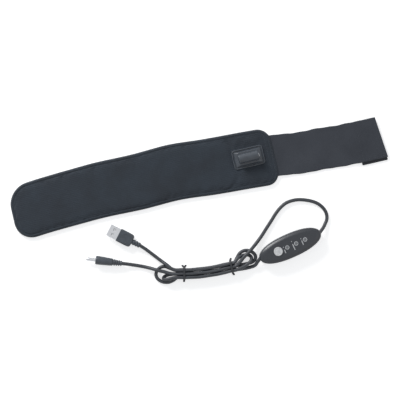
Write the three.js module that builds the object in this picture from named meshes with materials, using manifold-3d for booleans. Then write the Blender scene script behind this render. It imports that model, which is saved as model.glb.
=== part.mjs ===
// Telescope dew heater strip with its switched USB power lead, in millimetres, +Z up.
// The strip lies along X, its strap at +X, outer face up. The lead lies beside it at -Y, folded and tied.
import * as THREE from 'three';
import { mergeVertices } from 'three/addons/utils/BufferGeometryUtils.js';
import Module from 'manifold-3d';

const wasm = await Module();
wasm.setup();

// Clearances.
const seat = 0.3;        // between pieces that rest on or run in each other
const fitGap = 0.15;     // around pieces that are moulded in or pressed in
const layerGap = 0.1;    // between flat layers

// Pad: a curved band with rounded corners, two covers joined around a flat heating element.
const padStartX = -189;
const padEndX = 79;
const padCurve = [[-189, -2.6], [-160, 0.3], [-125, 2.2], [-98, 3.2], [-60, 2.7], [-22, 3.8], [14, 1.1], [50, -0.7], [79, -2.4]];
const padHalfWidthStart = 27.4;
const padHalfWidthEnd = 28.8;
const padCornerStart = 20;
const padCornerEnd = 13;
const coverThickness = 1.0;
const coverEdgeRadius = 2.4;
const backEdgeRadius = 0.4;
const seamWidth = 4;
const carrierThickness = 0.4;
const ribbonThickness = 0.3;
const foamThickness = 1.5;

// Heating ribbon: crosswise passes out to the plain end, and one straight run back along the upper side.
const ribbonWidth = 3;
const ribbonPitch = 9;
const ribbonSpan = 32;
const ribbonReturnGap = 5;
const terminalSpacing = 7;

// Strap: elastic webbing that is sewn in between the covers, its route given along its underside.
const strapWidth = 41.6;
const strapThickness = 1.6;
const strapTuck = 9;
const strapRoute = [[92, -4.3, 0.6], [104, -5.2, 0.35], [116, -5.9, 0.35], [140, -7.3, 0.3], [152, -7.6, 0.7]];
const strapEndX = 186.9;
const strapEndY = -8.3;
const strapEndSkew = 0.1;
const patchLength = 24;
const patchWidth = 42.6;
const patchThickness = 1.6;
const patchShift = -2.35;

// Power socket: a soft moulding on the outer face, its barrel along X and its mouth toward the strap.
const socketX = 53;
const socketY = 1.7;
const flangeLength = 31.5;
const flangeWidth = 19.4;
const flangeCorner = 3;
const flangeThickness = 0.6;
const rimWidth = 1.4;
const rimHeight = 0.5;
const plateauMargin = 2.6;
const plateauHeight = 2.5;
const plateauSlope = 1.2;
const barrelLength = 20.5;
const barrelDiameter = 9.4;
const barrelEdge = 0.8;
const barrelAxisHeight = 5.7;
const chamberLength = 5;
const hubWall = 1.6;
const wellReach = 22;
const wellMargin = 3;
const socketDepth = 10.5;
const socketSleeveWall = 0.4;
const socketPinDiameter = 1.3;
const socketPinTipInset = 1.5;
const socketLip = 0.4;
const socketBlockLength = 2.8;
const wireDiameter = 1.2;
const wireSpacing = 3.4;
const limiterLength = 9;
const limiterWidth = 4;
const limiterThickness = 1.4;

// Plug that fits the socket.
const dcBarrelDiameter = 3.5;
const dcBarrelWall = 0.3;
const dcBoreDiameter = 1.35;
const dcContactWall = 0.25;
const dcBarrelLength = 9.5;
const dcBarrelRoot = 5;
const dcGrooveFromTip = 2.6;
const dcGrooveWidth = 0.7;
const dcGrooveDepth = 0.18;
const dcBodyDiameter = 8.9;
const dcBodyRearDiameter = 7.2;
const dcBodyLength = 17.2;
const dcReliefDiameter = 6.4;
const dcReliefLength = 9;
const dcReliefRibs = 4;
const reliefGrooveDepth = 0.7;

// USB-A plug.
const usbShellWidth = 12;
const usbShellHeight = 4.5;
const usbShellWall = 0.3;
const usbShellOut = 10.8;
const usbShellRoot = 5;
const usbShellCorner = 0.6;
const usbTongueHeight = 1.8;
const usbTongueInset = 0.6;
const usbContactPitch = 2.3;
const usbContactWidth = 1.1;
const usbContactThickness = 0.25;
const usbContactLength = 7.4;
const usbWindow = 2.4;
const usbWindowSpacing = 5.2;
const usbWindowFromMouth = 5.2;
const usbBodyLength = 15.2;
const usbBodyWidth = 13.4;
const usbBodyHeight = 7.6;
const usbBodyCorner = 2.6;
const usbBodyEdge = 1.2;
const usbDishDepth = 0.5;
const usbDishRadius = 4.4;
const usbReliefLength = 8.4;
const usbReliefWidth = 5.6;
const usbReliefRibs = 3;

// In-line controller: a flat oval case of two shells.
const caseLength = 65.4;
const caseWidth = 23.6;
const caseHeight = 12.4;
const caseParting = 5.4;
const caseWall = 1.6;
const caseEdge = 2.6;
const caseFootEdge = 1.6;
const caseFullness = 2.25;
const buttonX = -13.3;
const buttonDiameter = 8.8;
const buttonProud = 0.9;
const buttonFlange = 0.9;
const buttonFlangeThickness = 0.8;
const buttonTravel = 0.4;
const windowFirstX = -3.6;
const windowPitch = 9.6;
const windowCount = 3;
const windowDiameter = 2.6;
const windowFlange = 0.7;
const windowFlangeThickness = 0.6;
const boardLength = 44;
const boardWidth = 13;
const boardThickness = 1;
const boardHeight = 4.6;
const boardPostDiameter = 3;
const boardPostX = 16;
const switchSize = 6;
const switchPlungerDiameter = 3.4;
const plungerDepth = 1.6;
const chipLength = 6;
const chipWidth = 5;
const chipHeight = 1.6;
const transistorLength = 5.5;
const transistorWidth = 6.4;
const transistorHeight = 2.2;
const ledLength = 2;
const ledWidth = 1.3;
const ledHeight = 0.8;

// Cord, hank and twist ties.
const cordDiameter = 3.5;
const cordSides = 8;
const hankRoute = [[-41.5, -95.3], [-26, -98.5], [-7, -100.6], [15.4, -100.8]];
const hankEdge = 1.2;
const hankEndCorner = 2.2;
const hankRunPitch = 3.8;
const hankColumns = 3;
const hankRows = 2;
const tieThickness = 0.9;
const tieWidth = 2;
const tieTailLength = 4.4;
const tieTailRadius = 0.8;
const tieLeftX = -35;
const tieRightX = 12.2;

// Where the loose pieces lie: a point on the surface and the heading of the piece in degrees.
const usbPlace = { x: -71.9, y: -59.5, heading: 139.9 };
const dcPlace = { x: -93.2, y: -72.9, heading: 159.5 };
const casePlace = { x: 73.6, y: -93.2, heading: 11.2 };

// Heights that follow from the sizes above.
const carrierZ = coverThickness + layerGap;
const ribbonZ = carrierZ + carrierThickness + layerGap;
const foamZ = ribbonZ + ribbonThickness + layerGap;
const ceilingZ = foamZ + foamThickness + layerGap;
const padTopZ = ceilingZ + coverThickness;
const strapRootZ = coverThickness + seat;
const strapOnPatchZ = patchThickness + seat;
const socketAxisZ = padTopZ + barrelAxisHeight;
const socketSleeveOuter = dcBarrelDiameter + 2 * (layerGap + socketSleeveWall);
const hankBottomZ = tieThickness + seat;
const hankHeight = hankRows * hankRunPitch;
const hankWidth = hankColumns * hankRunPitch;
const dcAxisZ = dcBodyDiameter / 2;
const usbAxisZ = usbBodyHeight / 2;

// Colours and finishes.
const finish = {
  fabric: { color: 0x333a44, roughness: 0.95, metalness: 0 },
  backFabric: { color: 0x2c3139, roughness: 0.95, metalness: 0 },
  foam: { color: 0x9a9c9e, roughness: 1, metalness: 0 },
  carrier: { color: 0xd8d4c8, roughness: 0.9, metalness: 0 },
  carbon: { color: 0x1c1d20, roughness: 0.6, metalness: 0.2 },
  webbing: { color: 0x3c4048, roughness: 0.9, metalness: 0 },
  hook: { color: 0x2b2e34, roughness: 0.8, metalness: 0 },
  softPlastic: { color: 0x484c55, roughness: 0.45, metalness: 0 },
  darkPlastic: { color: 0x383c44, roughness: 0.55, metalness: 0 },
  whitePlastic: { color: 0xe8e9ea, roughness: 0.4, metalness: 0 },
  nickel: { color: 0xc9cbce, roughness: 0.25, metalness: 1 },
  gold: { color: 0xc9a45a, roughness: 0.3, metalness: 1 },
  cord: { color: 0x3b3e43, roughness: 0.5, metalness: 0 },
  board: { color: 0x2f6b45, roughness: 0.5, metalness: 0 },
  redWire: { color: 0x9c2a26, roughness: 0.5, metalness: 0 },
  blackWire: { color: 0x222326, roughness: 0.5, metalness: 0 },
  clear: { color: 0xdfe6ea, roughness: 0.15, metalness: 0 },
};

// Tools on geometry and solids.

function solidOf(geometry) {
  const bare = geometry.clone();
  bare.deleteAttribute('normal');
  bare.deleteAttribute('uv');
  const welded = mergeVertices(bare, 1e-4);
  return new wasm.Manifold(new wasm.Mesh({
    numProp: 3,
    vertProperties: new Float32Array(welded.attributes.position.array),
    triVerts: new Uint32Array(welded.index.array),
  }));
}

function geometryOf(solid) {
  const mesh = solid.getMesh();
  const geometry = new THREE.BufferGeometry();
  geometry.setAttribute('position', new THREE.BufferAttribute(mesh.vertProperties, 3));
  geometry.setIndex(new THREE.BufferAttribute(mesh.triVerts, 1));
  geometry.computeVertexNormals();
  return geometry;
}

function piece(name, shape, surface) {
  const geometry = shape.isBufferGeometry ? shape : geometryOf(shape);
  const mesh = new THREE.Mesh(geometry, new THREE.MeshStandardMaterial(surface));
  mesh.name = name;
  return mesh;
}

// A box from its size, centred on x and y, with its underside at z.
function block(length, width, height, x, y, z) {
  return new THREE.BoxGeometry(length, width, height).translate(x, y, z + height / 2);
}

// A round pin along Z, with its underside at z.
function pin(diameter, height, x, y, z, sides = 20) {
  const geometry = new THREE.CylinderGeometry(diameter / 2, diameter / 2, height, sides);
  return geometry.rotateX(Math.PI / 2).translate(x, y, z + height / 2);
}

// A solid turned about the X axis from [x, radius] points.
function turned(profile, y, z, sides = 20) {
  const points = profile.map(([x, radius]) => new THREE.Vector2(radius, x));
  return new THREE.LatheGeometry(points, sides).rotateZ(-Math.PI / 2).translate(0, y, z);
}

// A round tube along X, open at both ends.
function sleeve(outer, inner, x0, x1, y, z) {
  return turned([[x0, inner / 2], [x0, outer / 2], [x1, outer / 2], [x1, inner / 2], [x0, inner / 2]], y, z);
}

function roundedRectangle(length, width, corner) {
  const x = length / 2;
  const y = width / 2;
  const shape = new THREE.Shape();
  shape.moveTo(x - corner, -y);
  shape.absarc(x - corner, corner - y, corner, -Math.PI / 2, 0);
  shape.absarc(x - corner, y - corner, corner, 0, Math.PI / 2);
  shape.absarc(corner - x, y - corner, corner, Math.PI / 2, Math.PI);
  shape.absarc(corner - x, corner - y, corner, Math.PI, 1.5 * Math.PI);
  shape.closePath();
  return shape;
}

// A plate of the shape between two heights. A radius rounds both edges inside the shape's outline.
function plate(shape, z0, z1, radius = 0, segments = 3, curveSegments = 6) {
  const geometry = new THREE.ExtrudeGeometry(shape, {
    depth: z1 - z0 - 2 * radius,
    bevelEnabled: radius > 0,
    bevelThickness: radius,
    bevelSize: radius,
    bevelOffset: -radius,
    bevelSegments: segments,
    curveSegments,
  });
  return geometry.translate(0, 0, z0 + radius);
}

// The same plate with only its upper edge rounded.
function domedPlate(shape, z0, z1, radius, segments = 3, curveSegments = 6) {
  const whole = solidOf(plate(shape, z0 - 2 * radius, z1, radius, segments, curveSegments));
  return whole.trimByPlane([0, 0, 1], z0);
}

// The outline of a ribbon of one width along a list of points, with mitred corners.
function ribbonShape(points, width) {
  const sides = [[], []];
  points.forEach((point, i) => {
    const before = points[Math.max(i - 1, 0)];
    const after = points[Math.min(i + 1, points.length - 1)];
    const into = i > 0 ? point.clone().sub(before).normalize() : after.clone().sub(point).normalize();
    const out = i < points.length - 1 ? after.clone().sub(point).normalize() : into;
    const normal = new THREE.Vector2(-into.y - out.y, into.x + out.x).divideScalar(1 + into.dot(out));
    sides[0].push(point.clone().addScaledVector(normal, width / 2));
    sides[1].unshift(point.clone().addScaledVector(normal, -width / 2));
  });
  return new THREE.Shape([...sides[0], ...sides[1]]);
}

// A plane curve through [x, y] points, and its y at any x.
function planeCurve(points) {
  return new THREE.CatmullRomCurve3(points.map(([x, y]) => new THREE.Vector3(x, y, 0)), false, 'centripetal');
}

function heightOnCurve(curve, x) {
  let low = 0;
  let high = 1;
  for (let i = 0; i < 24; i += 1) {
    const middle = (low + high) / 2;
    if (curve.getPoint(middle).x < x) low = middle;
    else high = middle;
  }
  return curve.getPoint(low).y;
}

// Pad.

const padLine = planeCurve(padCurve);

function padMiddle(x) {
  return heightOnCurve(padLine, x);
}

// How far a rounded corner draws the side in, at a distance from the end.
function cornerInset(distance, radius) {
  if (distance >= radius) return 0;
  return radius - Math.sqrt(radius * radius - (radius - distance) ** 2);
}

// The outline of a band along a curve from x0 to x1, with its corners rounded in the plane.
function bandOutline(curve, x0, x1, halfWidthAt, cornerStart, cornerEnd, straight) {
  const quarter = [0, 1, 2, 3, 4, 5].map((i) => 1 - Math.cos((i * Math.PI) / 12));
  const stations = quarter.map((share) => x0 + cornerStart * share);
  for (let i = 0; i <= straight; i += 1) {
    stations.push(THREE.MathUtils.lerp(x0 + cornerStart, x1 - cornerEnd, i / straight));
  }
  stations.push(...quarter.map((share) => x1 - cornerEnd * share).reverse());
  const upper = [];
  const lower = [];
  stations.forEach((x) => {
    const middle = heightOnCurve(curve, x);
    const half = halfWidthAt(x) - cornerInset(x - x0, cornerStart) - cornerInset(x1 - x, cornerEnd);
    upper.unshift(new THREE.Vector2(x, middle + half));
    lower.push(new THREE.Vector2(x, middle - half));
  });
  return new THREE.Shape([...lower, ...upper]);
}

// The pad's outline, moved in by inset, and by a further trim at its strap end.
function padOutline(inset, endTrim = 0) {
  const halfWidthAt = (x) => {
    const along = (x - padStartX) / (padEndX - padStartX);
    return THREE.MathUtils.lerp(padHalfWidthStart, padHalfWidthEnd, along) - inset;
  };
  const cornerStart = Math.max(padCornerStart - inset, 1);
  const cornerEnd = Math.max(padCornerEnd - inset - endTrim, 1);
  return bandOutline(
    padLine, padStartX + inset, padEndX - inset - endTrim, halfWidthAt, cornerStart, cornerEnd, 14,
  );
}

const layerInset = seamWidth + seat;
const layerEndTrim = Math.max(strapTuck + seat - seamWidth, 0);

// The foam's well below the socket, where the wires and the temperature limiter lie.
const mouthX = socketX + barrelLength / 2;
const chamberWidth = wireSpacing + wireDiameter + 2 * seat;
const chamberX = mouthX - socketDepth - socketBlockLength - chamberLength / 2;
const hubLength = chamberLength + 2 * hubWall;
const hubWidth = chamberWidth + 2 * hubWall;
const wellStartX = chamberX - hubLength / 2 - wellReach;
const wellEndX = chamberX + hubLength / 2;
const limiterX = wellStartX + 1 + limiterLength / 2;
const terminalX = limiterX + limiterLength / 2 + 2;
const wireZ = ribbonZ + ribbonThickness + fitGap + wireDiameter / 2;

function strapCurve() {
  const rootY = padMiddle(padEndX);
  const tucked = [padEndX - strapTuck, padEndX + 1].map((x) => new THREE.Vector3(x, rootY, strapRootZ));
  const lying = strapRoute.map(([x, y, z]) => new THREE.Vector3(x, y, z));
  const onPatch = [strapEndX - patchLength - 1, strapEndX - patchLength / 2, strapEndX];
  const end = onPatch.map((x) => new THREE.Vector3(x, strapEndY, strapOnPatchZ));
  return new THREE.CatmullRomCurve3([...tucked, ...lying, ...end], false, 'centripetal');
}

// Webbing: a flat box bent along its route, its free end cut at a slight skew.
function strapSolid() {
  const curve = strapCurve();
  const steps = 44;
  const geometry = new THREE.BoxGeometry(1, strapWidth, strapThickness, steps, 1, 1);
  const position = geometry.attributes.position;
  for (let i = 0; i < position.count; i += 1) {
    const share = position.getX(i) + 0.5;
    const side = position.getY(i);
    const base = curve.getPointAt(share);
    const skew = share > 0.999 ? -side * strapEndSkew : 0;
    const lift = position.getZ(i) + strapThickness / 2;
    position.setXYZ(i, base.x + skew, base.y + side, base.z + lift);
  }
  return geometry;
}

function hookPatch() {
  const shape = new THREE.Shape([
    new THREE.Vector2(-patchLength, -patchWidth / 2),
    new THREE.Vector2((strapEndSkew * patchWidth) / 2, -patchWidth / 2),
    new THREE.Vector2((-strapEndSkew * patchWidth) / 2, patchWidth / 2),
    new THREE.Vector2(-patchLength, patchWidth / 2),
  ]);
  return plate(shape, 0, patchThickness).translate(strapEndX - seat, strapEndY + patchShift, 0);
}

// One flat ribbon: from its first terminal out to the plain end in crosswise passes, and back.
function heatingRibbon() {
  const firstX = wellStartX - ribbonPitch / 2;
  const low = -(ribbonSpan + ribbonReturnGap) / 2;
  const high = low + ribbonSpan;
  const room = firstX - ribbonPitch - (padStartX + padCornerStart);
  const passes = 1 + 2 * Math.floor(room / (2 * ribbonPitch));
  const at = (x, side) => new THREE.Vector2(x, padMiddle(x) + side);
  const path = [at(terminalX, -terminalSpacing / 2), at(firstX, -terminalSpacing / 2), at(firstX, low)];
  for (let i = 1; i <= passes; i += 1) {
    const x = firstX - i * ribbonPitch;
    const upward = i % 2 === 1;
    path.push(at(x, upward ? low : high));
    path.push(at(x, upward ? high : low));
  }
  const lastX = firstX - passes * ribbonPitch;
  const returnY = high + ribbonReturnGap;
  const returnX = firstX + ribbonPitch / 2;
  const returnSteps = 12;
  path.pop();
  for (let i = 0; i <= returnSteps; i += 1) {
    path.push(at(THREE.MathUtils.lerp(lastX, returnX, i / returnSteps), returnY));
  }
  path.push(at(returnX, terminalSpacing / 2), at(terminalX, terminalSpacing / 2));
  return plate(ribbonShape(path, ribbonWidth), ribbonZ, ribbonZ + ribbonThickness);
}

function pad() {
  const outline = padOutline(0);
  const layer = padOutline(layerInset, layerEndTrim);
  const cavity = solidOf(plate(padOutline(seamWidth), 0, ceilingZ));
  const strapSlot = block(
    strapTuck + seat + 1, strapWidth + 2 * seat, strapThickness + 2 * seat,
    padEndX - (strapTuck + seat - 1) / 2, padMiddle(padEndX), coverThickness,
  );
  const hubHole = block(hubLength + 2 * seat, hubWidth + 2 * seat, padTopZ, chamberX, socketY, ceilingZ - 1);
  const face = domedPlate(outline, coverThickness + layerGap, padTopZ, coverEdgeRadius)
    .subtract(cavity)
    .subtract(solidOf(strapSlot))
    .subtract(solidOf(hubHole));
  const wellWidth = Math.max(hubWidth, terminalSpacing + limiterWidth) + 2 * wellMargin;
  const well = block(wellEndX - wellStartX, wellWidth, padTopZ, (wellStartX + wellEndX) / 2, socketY, 0);
  const foam = solidOf(plate(layer, foamZ, foamZ + foamThickness)).subtract(solidOf(well));
  return [
    piece('back_cover', plate(outline, 0, coverThickness, backEdgeRadius, 2), finish.backFabric),
    piece('element_carrier', plate(layer, carrierZ, carrierZ + carrierThickness), finish.carrier),
    piece('heating_ribbon', heatingRibbon(), finish.carbon),
    piece('insulation_foam', foam, finish.foam),
    piece('face_cover', face, finish.fabric),
    piece('strap', strapSolid(), finish.webbing),
    piece('hook_patch', hookPatch(), finish.hook),
  ];
}

// Socket: flange with a raised rim, a sloping plateau, and a barrel that is hollow for the contacts.
function socketHousing() {
  const z = padTopZ;
  const outline = roundedRectangle(flangeLength, flangeWidth, flangeCorner);
  const insideRim = roundedRectangle(
    flangeLength - 2 * rimWidth, flangeWidth - 2 * rimWidth, flangeCorner - rimWidth / 2,
  );
  const plateau = roundedRectangle(
    flangeLength - 2 * plateauMargin, flangeWidth - 2 * plateauMargin, flangeCorner - rimWidth / 2,
  );
  const floorZ = z + flangeThickness;
  const rimRadius = rimHeight / 2;
  const centred = domedPlate(outline, z, floorZ + rimHeight, rimRadius, 2, 4)
    .subtract(solidOf(plate(insideRim, floorZ, floorZ + rimHeight + 1)))
    .add(domedPlate(plateau, floorZ - 0.1, z + plateauHeight, plateauSlope, 1, 4))
    .translate([socketX, socketY, 0]);
  const radius = barrelDiameter / 2;
  const x0 = socketX - barrelLength / 2;
  const x1 = mouthX;
  const barrel = turned([
    [x0, 0], [x0, radius - barrelEdge], [x0 + barrelEdge * 0.3, radius - barrelEdge * 0.3],
    [x0 + barrelEdge, radius], [x1 - barrelEdge, radius],
    [x1 - barrelEdge * 0.3, radius - barrelEdge * 0.3], [x1, radius - barrelEdge], [x1, 0],
  ], socketY, socketAxisZ);
  const skirt = block(
    barrelLength - 2 * barrelEdge, barrelDiameter - 0.4, barrelAxisHeight - flangeThickness,
    socketX, socketY, floorZ,
  );
  const hub = block(hubLength, hubWidth, z - ceilingZ + 0.2, chamberX, socketY, ceilingZ);
  const bore = turned([
    [x1 - socketDepth - socketBlockLength - 0.5, 0],
    [x1 - socketDepth - socketBlockLength - 0.5, socketSleeveOuter / 2 + fitGap],
    [x1 + 1, socketSleeveOuter / 2 + fitGap], [x1 + 1, 0],
  ], socketY, socketAxisZ);
  const leadIn = turned([
    [x1, 0], [x1, dcBodyDiameter / 2 + seat],
    [x1 + flangeLength, dcBodyDiameter / 2 + seat], [x1 + flangeLength, 0],
  ], socketY, socketAxisZ);
  const chamberHeight = socketAxisZ + wireDiameter + seat - ceilingZ + 1;
  const chamber = block(chamberLength, chamberWidth, chamberHeight, chamberX, socketY, ceilingZ - 1);
  return centred
    .add(solidOf(barrel))
    .add(solidOf(skirt))
    .add(solidOf(hub))
    .subtract(solidOf(bore))
    .subtract(solidOf(leadIn))
    .subtract(solidOf(chamber));
}

function socketWire(side) {
  const y = socketY + (side * wireSpacing) / 2;
  const endY = padMiddle(terminalX) + (side * terminalSpacing) / 2;
  const route = new THREE.CatmullRomCurve3([
    new THREE.Vector3(chamberX + chamberLength / 2 - seat, y, socketAxisZ),
    new THREE.Vector3(chamberX + 0.6, y, socketAxisZ - 1),
    new THREE.Vector3(chamberX, y, padTopZ),
    new THREE.Vector3(chamberX - 0.4, y, wireZ + 1),
    new THREE.Vector3(chamberX - 2.4, y, wireZ),
    new THREE.Vector3(terminalX + 3, endY, wireZ),
    new THREE.Vector3(terminalX, endY, wireZ),
  ], false, 'centripetal');
  return tube(route, wireDiameter, 22, 6);
}

// A round tube along a curve.
function tube(route, diameter, steps, sides) {
  const section = new THREE.Shape();
  for (let i = 0; i < sides; i += 1) {
    const angle = (2 * Math.PI * (i + 0.5)) / sides;
    const point = [(diameter / 2) * Math.cos(angle), (diameter / 2) * Math.sin(angle)];
    if (i === 0) section.moveTo(...point);
    else section.lineTo(...point);
  }
  section.closePath();
  return new THREE.ExtrudeGeometry(section, { steps, extrudePath: route });
}

function socket() {
  const sleeveRoot = mouthX - socketDepth;
  const blockBack = sleeveRoot - socketBlockLength;
  const bore = socketPinDiameter / 2 + fitGap;
  const limiterZ = ribbonZ + ribbonThickness + fitGap;
  return [
    piece('socket_housing', socketHousing(), finish.softPlastic),
    piece('socket_sleeve', sleeve(
      socketSleeveOuter, socketSleeveOuter - 2 * socketSleeveWall,
      sleeveRoot + fitGap, mouthX + socketLip, socketY, socketAxisZ,
    ), finish.nickel),
    piece('socket_insulator', sleeve(
      socketSleeveOuter, 2 * bore, blockBack, sleeveRoot, socketY, socketAxisZ,
    ), finish.whitePlastic),
    piece('socket_pin', turned([
      [blockBack - 0.6, 0], [blockBack - 0.6, socketPinDiameter / 2],
      [mouthX - socketPinTipInset - 0.4, socketPinDiameter / 2],
      [mouthX - socketPinTipInset, socketPinDiameter / 4], [mouthX - socketPinTipInset, 0],
    ], socketY, socketAxisZ, 12), finish.nickel),
    piece('socket_wire_positive', socketWire(1), finish.redWire),
    piece('socket_wire_negative', socketWire(-1), finish.blackWire),
    piece('temperature_limiter', block(
      limiterLength, limiterWidth, limiterThickness,
      limiterX, padMiddle(limiterX) - terminalSpacing / 2, limiterZ,
    ), finish.whitePlastic),
  ];
}

// A loose piece on its own place on the surface, its local X along its heading.
function placed(place, meshes) {
  const holder = new THREE.Group();
  holder.position.set(place.x, place.y, 0);
  holder.rotation.z = THREE.MathUtils.degToRad(place.heading);
  holder.add(...meshes);
  return holder;
}

// The profile of a ribbed strain relief that tapers toward the cord at x = 0.
function reliefProfile(length, rootDiameter, ribs) {
  const pitch = length / ribs;
  const profile = [[0, 0]];
  for (let i = 0; i < ribs; i += 1) {
    const share = (i + 1) / ribs;
    const radius = THREE.MathUtils.lerp(cordDiameter / 2 + 0.7, rootDiameter / 2, share);
    profile.push([i * pitch, radius], [(i + 0.6) * pitch, radius]);
    profile.push([(i + 0.68) * pitch, radius - reliefGrooveDepth], [(i + 0.92) * pitch, radius - reliefGrooveDepth]);
  }
  return profile;
}

// A flat shape with its x up and its y across, made long along X.
function alongX(geometry) {
  return geometry.rotateY(Math.PI / 2);
}

function usbOvermould() {
  const x0 = usbReliefLength;
  const front = x0 + usbBodyLength;
  const spare = usbBodyCorner + 1;
  const outline = roundedRectangle(usbBodyLength + spare, usbBodyWidth, usbBodyCorner);
  const body = solidOf(plate(outline, 0, usbBodyHeight, usbBodyEdge, 3, 4).translate(x0 + (usbBodyLength + spare) / 2, 0, 0))
    .trimByPlane([-1, 0, 0], -front);
  const relief = turned(
    [...reliefProfile(usbReliefLength, usbReliefWidth, usbReliefRibs), [x0, usbReliefWidth / 2],
      [x0 + 1.5, usbReliefWidth / 2], [x0 + 1.5, 0]],
    0, usbAxisZ, 16,
  );
  const dish = new THREE.LatheGeometry([
    new THREE.Vector2(0, -usbDishDepth), new THREE.Vector2(usbDishRadius * 0.4, -usbDishDepth * 0.85),
    new THREE.Vector2(usbDishRadius * 0.75, -usbDishDepth * 0.45), new THREE.Vector2(usbDishRadius, 0.05),
    new THREE.Vector2(usbDishRadius, 1), new THREE.Vector2(0, 1),
  ], 24).rotateX(Math.PI / 2).translate(x0 + usbBodyLength / 2, 0, usbBodyHeight);
  const pocketShape = roundedRectangle(usbShellHeight + 2 * fitGap, usbShellWidth + 2 * fitGap, usbShellCorner);
  const pocket = alongX(plate(pocketShape, front - usbShellRoot, front + 1)).translate(0, 0, usbAxisZ);
  return body.add(solidOf(relief)).subtract(solidOf(dish)).subtract(solidOf(pocket));
}

function usbPlug() {
  const front = usbReliefLength + usbBodyLength;
  const root = front - usbShellRoot + fitGap;
  const mouth = front + usbShellOut;
  const outer = roundedRectangle(usbShellHeight, usbShellWidth, usbShellCorner);
  const innerHeight = usbShellHeight - 2 * usbShellWall;
  const innerWidth = usbShellWidth - 2 * usbShellWall;
  const inner = roundedRectangle(innerHeight, innerWidth, usbShellCorner / 2);
  let shell = solidOf(alongX(plate(outer, root, mouth)))
    .subtract(solidOf(alongX(plate(inner, root - 1, mouth + 1))));
  [-1, 1].forEach((side) => {
    const window = block(
      usbWindow, usbWindow, usbShellHeight + 2,
      mouth - usbWindowFromMouth, (side * usbWindowSpacing) / 2, -usbShellHeight / 2 - 1,
    );
    shell = shell.subtract(solidOf(window));
  });
  const tongueZ = usbAxisZ + innerHeight / 2 - fitGap - usbTongueHeight;
  const tongueLength = mouth - usbTongueInset - root;
  const tongue = block(
    tongueLength, innerWidth - 2 * fitGap, usbTongueHeight, root + tongueLength / 2, 0, tongueZ,
  );
  const meshes = [
    piece('usb_overmould', usbOvermould(), finish.softPlastic),
    piece('usb_shell', shell.translate([0, 0, usbAxisZ]), finish.nickel),
    piece('usb_tongue', tongue, finish.whitePlastic),
  ];
  for (let i = 0; i < 4; i += 1) {
    const y = (i - 1.5) * usbContactPitch;
    const contact = block(
      usbContactLength, usbContactWidth, usbContactThickness,
      mouth - usbTongueInset - 0.8 - usbContactLength / 2, y, tongueZ - layerGap - usbContactThickness,
    );
    meshes.push(piece(`usb_contact_${i + 1}`, contact, finish.gold));
  }
  return placed(usbPlace, meshes);
}

function dcPlug() {
  const rear = dcReliefLength;
  const front = rear + dcBodyLength;
  const tip = front + dcBarrelLength;
  const root = front - dcBarrelRoot;
  const radius = dcBarrelDiameter / 2;
  const bore = radius + fitGap;
  const contactRadius = dcBoreDiameter / 2 + dcContactWall;
  const grooveX = tip - dcGrooveFromTip;
  const overmould = turned([
    ...reliefProfile(dcReliefLength, dcReliefDiameter, dcReliefRibs), [rear, dcBodyRearDiameter / 2 - 0.5],
    [rear + 0.6, dcBodyRearDiameter / 2], [front - 0.7, dcBodyDiameter / 2],
    [front, dcBodyDiameter / 2 - 0.6], [front, bore], [root, bore], [root, 0],
  ], 0, dcAxisZ);
  const barrel = turned([
    [root + fitGap, radius - dcBarrelWall], [root + fitGap, radius],
    [grooveX - dcGrooveWidth, radius], [grooveX - dcGrooveWidth, radius - dcGrooveDepth],
    [grooveX, radius - dcGrooveDepth], [grooveX, radius], [tip - 0.2, radius], [tip, radius - 0.15],
    [tip, radius - dcBarrelWall], [root + fitGap, radius - dcBarrelWall],
  ], 0, dcAxisZ);
  const insulator = sleeve(
    2 * (radius - dcBarrelWall - layerGap), 2 * (contactRadius + layerGap), root + fitGap, tip - 0.3, 0, dcAxisZ,
  );
  const contact = sleeve(2 * contactRadius, dcBoreDiameter, root + fitGap, tip - 1, 0, dcAxisZ);
  return placed(dcPlace, [
    piece('dc_overmould', overmould, finish.darkPlastic),
    piece('dc_barrel', barrel, finish.nickel),
    piece('dc_insulator', insulator, finish.darkPlastic),
    piece('dc_contact', contact, finish.gold),
  ]);
}

// The case's oval outline, moved in by inset.
function caseOutline(inset) {
  const points = [];
  const count = 48;
  const power = 2 / caseFullness;
  for (let i = 0; i < count; i += 1) {
    const angle = (2 * Math.PI * i) / count;
    const c = Math.cos(angle);
    const s = Math.sin(angle);
    points.push(new THREE.Vector2(
      Math.sign(c) * Math.abs(c) ** power * (caseLength / 2 - inset),
      Math.sign(s) * Math.abs(s) ** power * (caseWidth / 2 - inset),
    ));
  }
  return new THREE.Shape(points);
}

function controllerShells() {
  const ceiling = caseHeight - caseWall;
  const boardZ = boardHeight;
  const cavity = solidOf(plate(caseOutline(caseWall), caseWall, ceiling));
  const cordHoles = solidOf(turned([
    [-caseLength, 0], [-caseLength, cordDiameter / 2 + seat],
    [caseLength, cordDiameter / 2 + seat], [caseLength, 0],
  ], 0, caseParting));
  let top = domedPlate(caseOutline(0), caseParting + fitGap, caseHeight, caseEdge, 4)
    .subtract(cavity)
    .subtract(cordHoles)
    .subtract(solidOf(pin(buttonDiameter + 2 * seat, caseHeight, buttonX, 0, caseParting, 36)));
  windowPlaces().forEach((x) => {
    top = top.subtract(solidOf(pin(windowDiameter + 2 * fitGap, caseHeight, x, 0, caseParting)));
  });
  let bottom = solidOf(plate(caseOutline(0), 0, caseParting + 2 * caseFootEdge, caseFootEdge, 3))
    .trimByPlane([0, 0, -1], -caseParting)
    .subtract(cavity)
    .subtract(cordHoles);
  [-1, 1].forEach((side) => {
    const post = pin(boardPostDiameter, boardZ - seat - caseWall + 0.2, side * boardPostX, 0, caseWall - 0.2, 16);
    bottom = bottom.add(solidOf(post));
  });
  return [
    piece('controller_case_top', top, finish.darkPlastic),
    piece('controller_case_bottom', bottom, finish.darkPlastic),
  ];
}

function windowPlaces() {
  return Array.from({ length: windowCount }, (unused, i) => windowFirstX + i * windowPitch);
}

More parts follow.
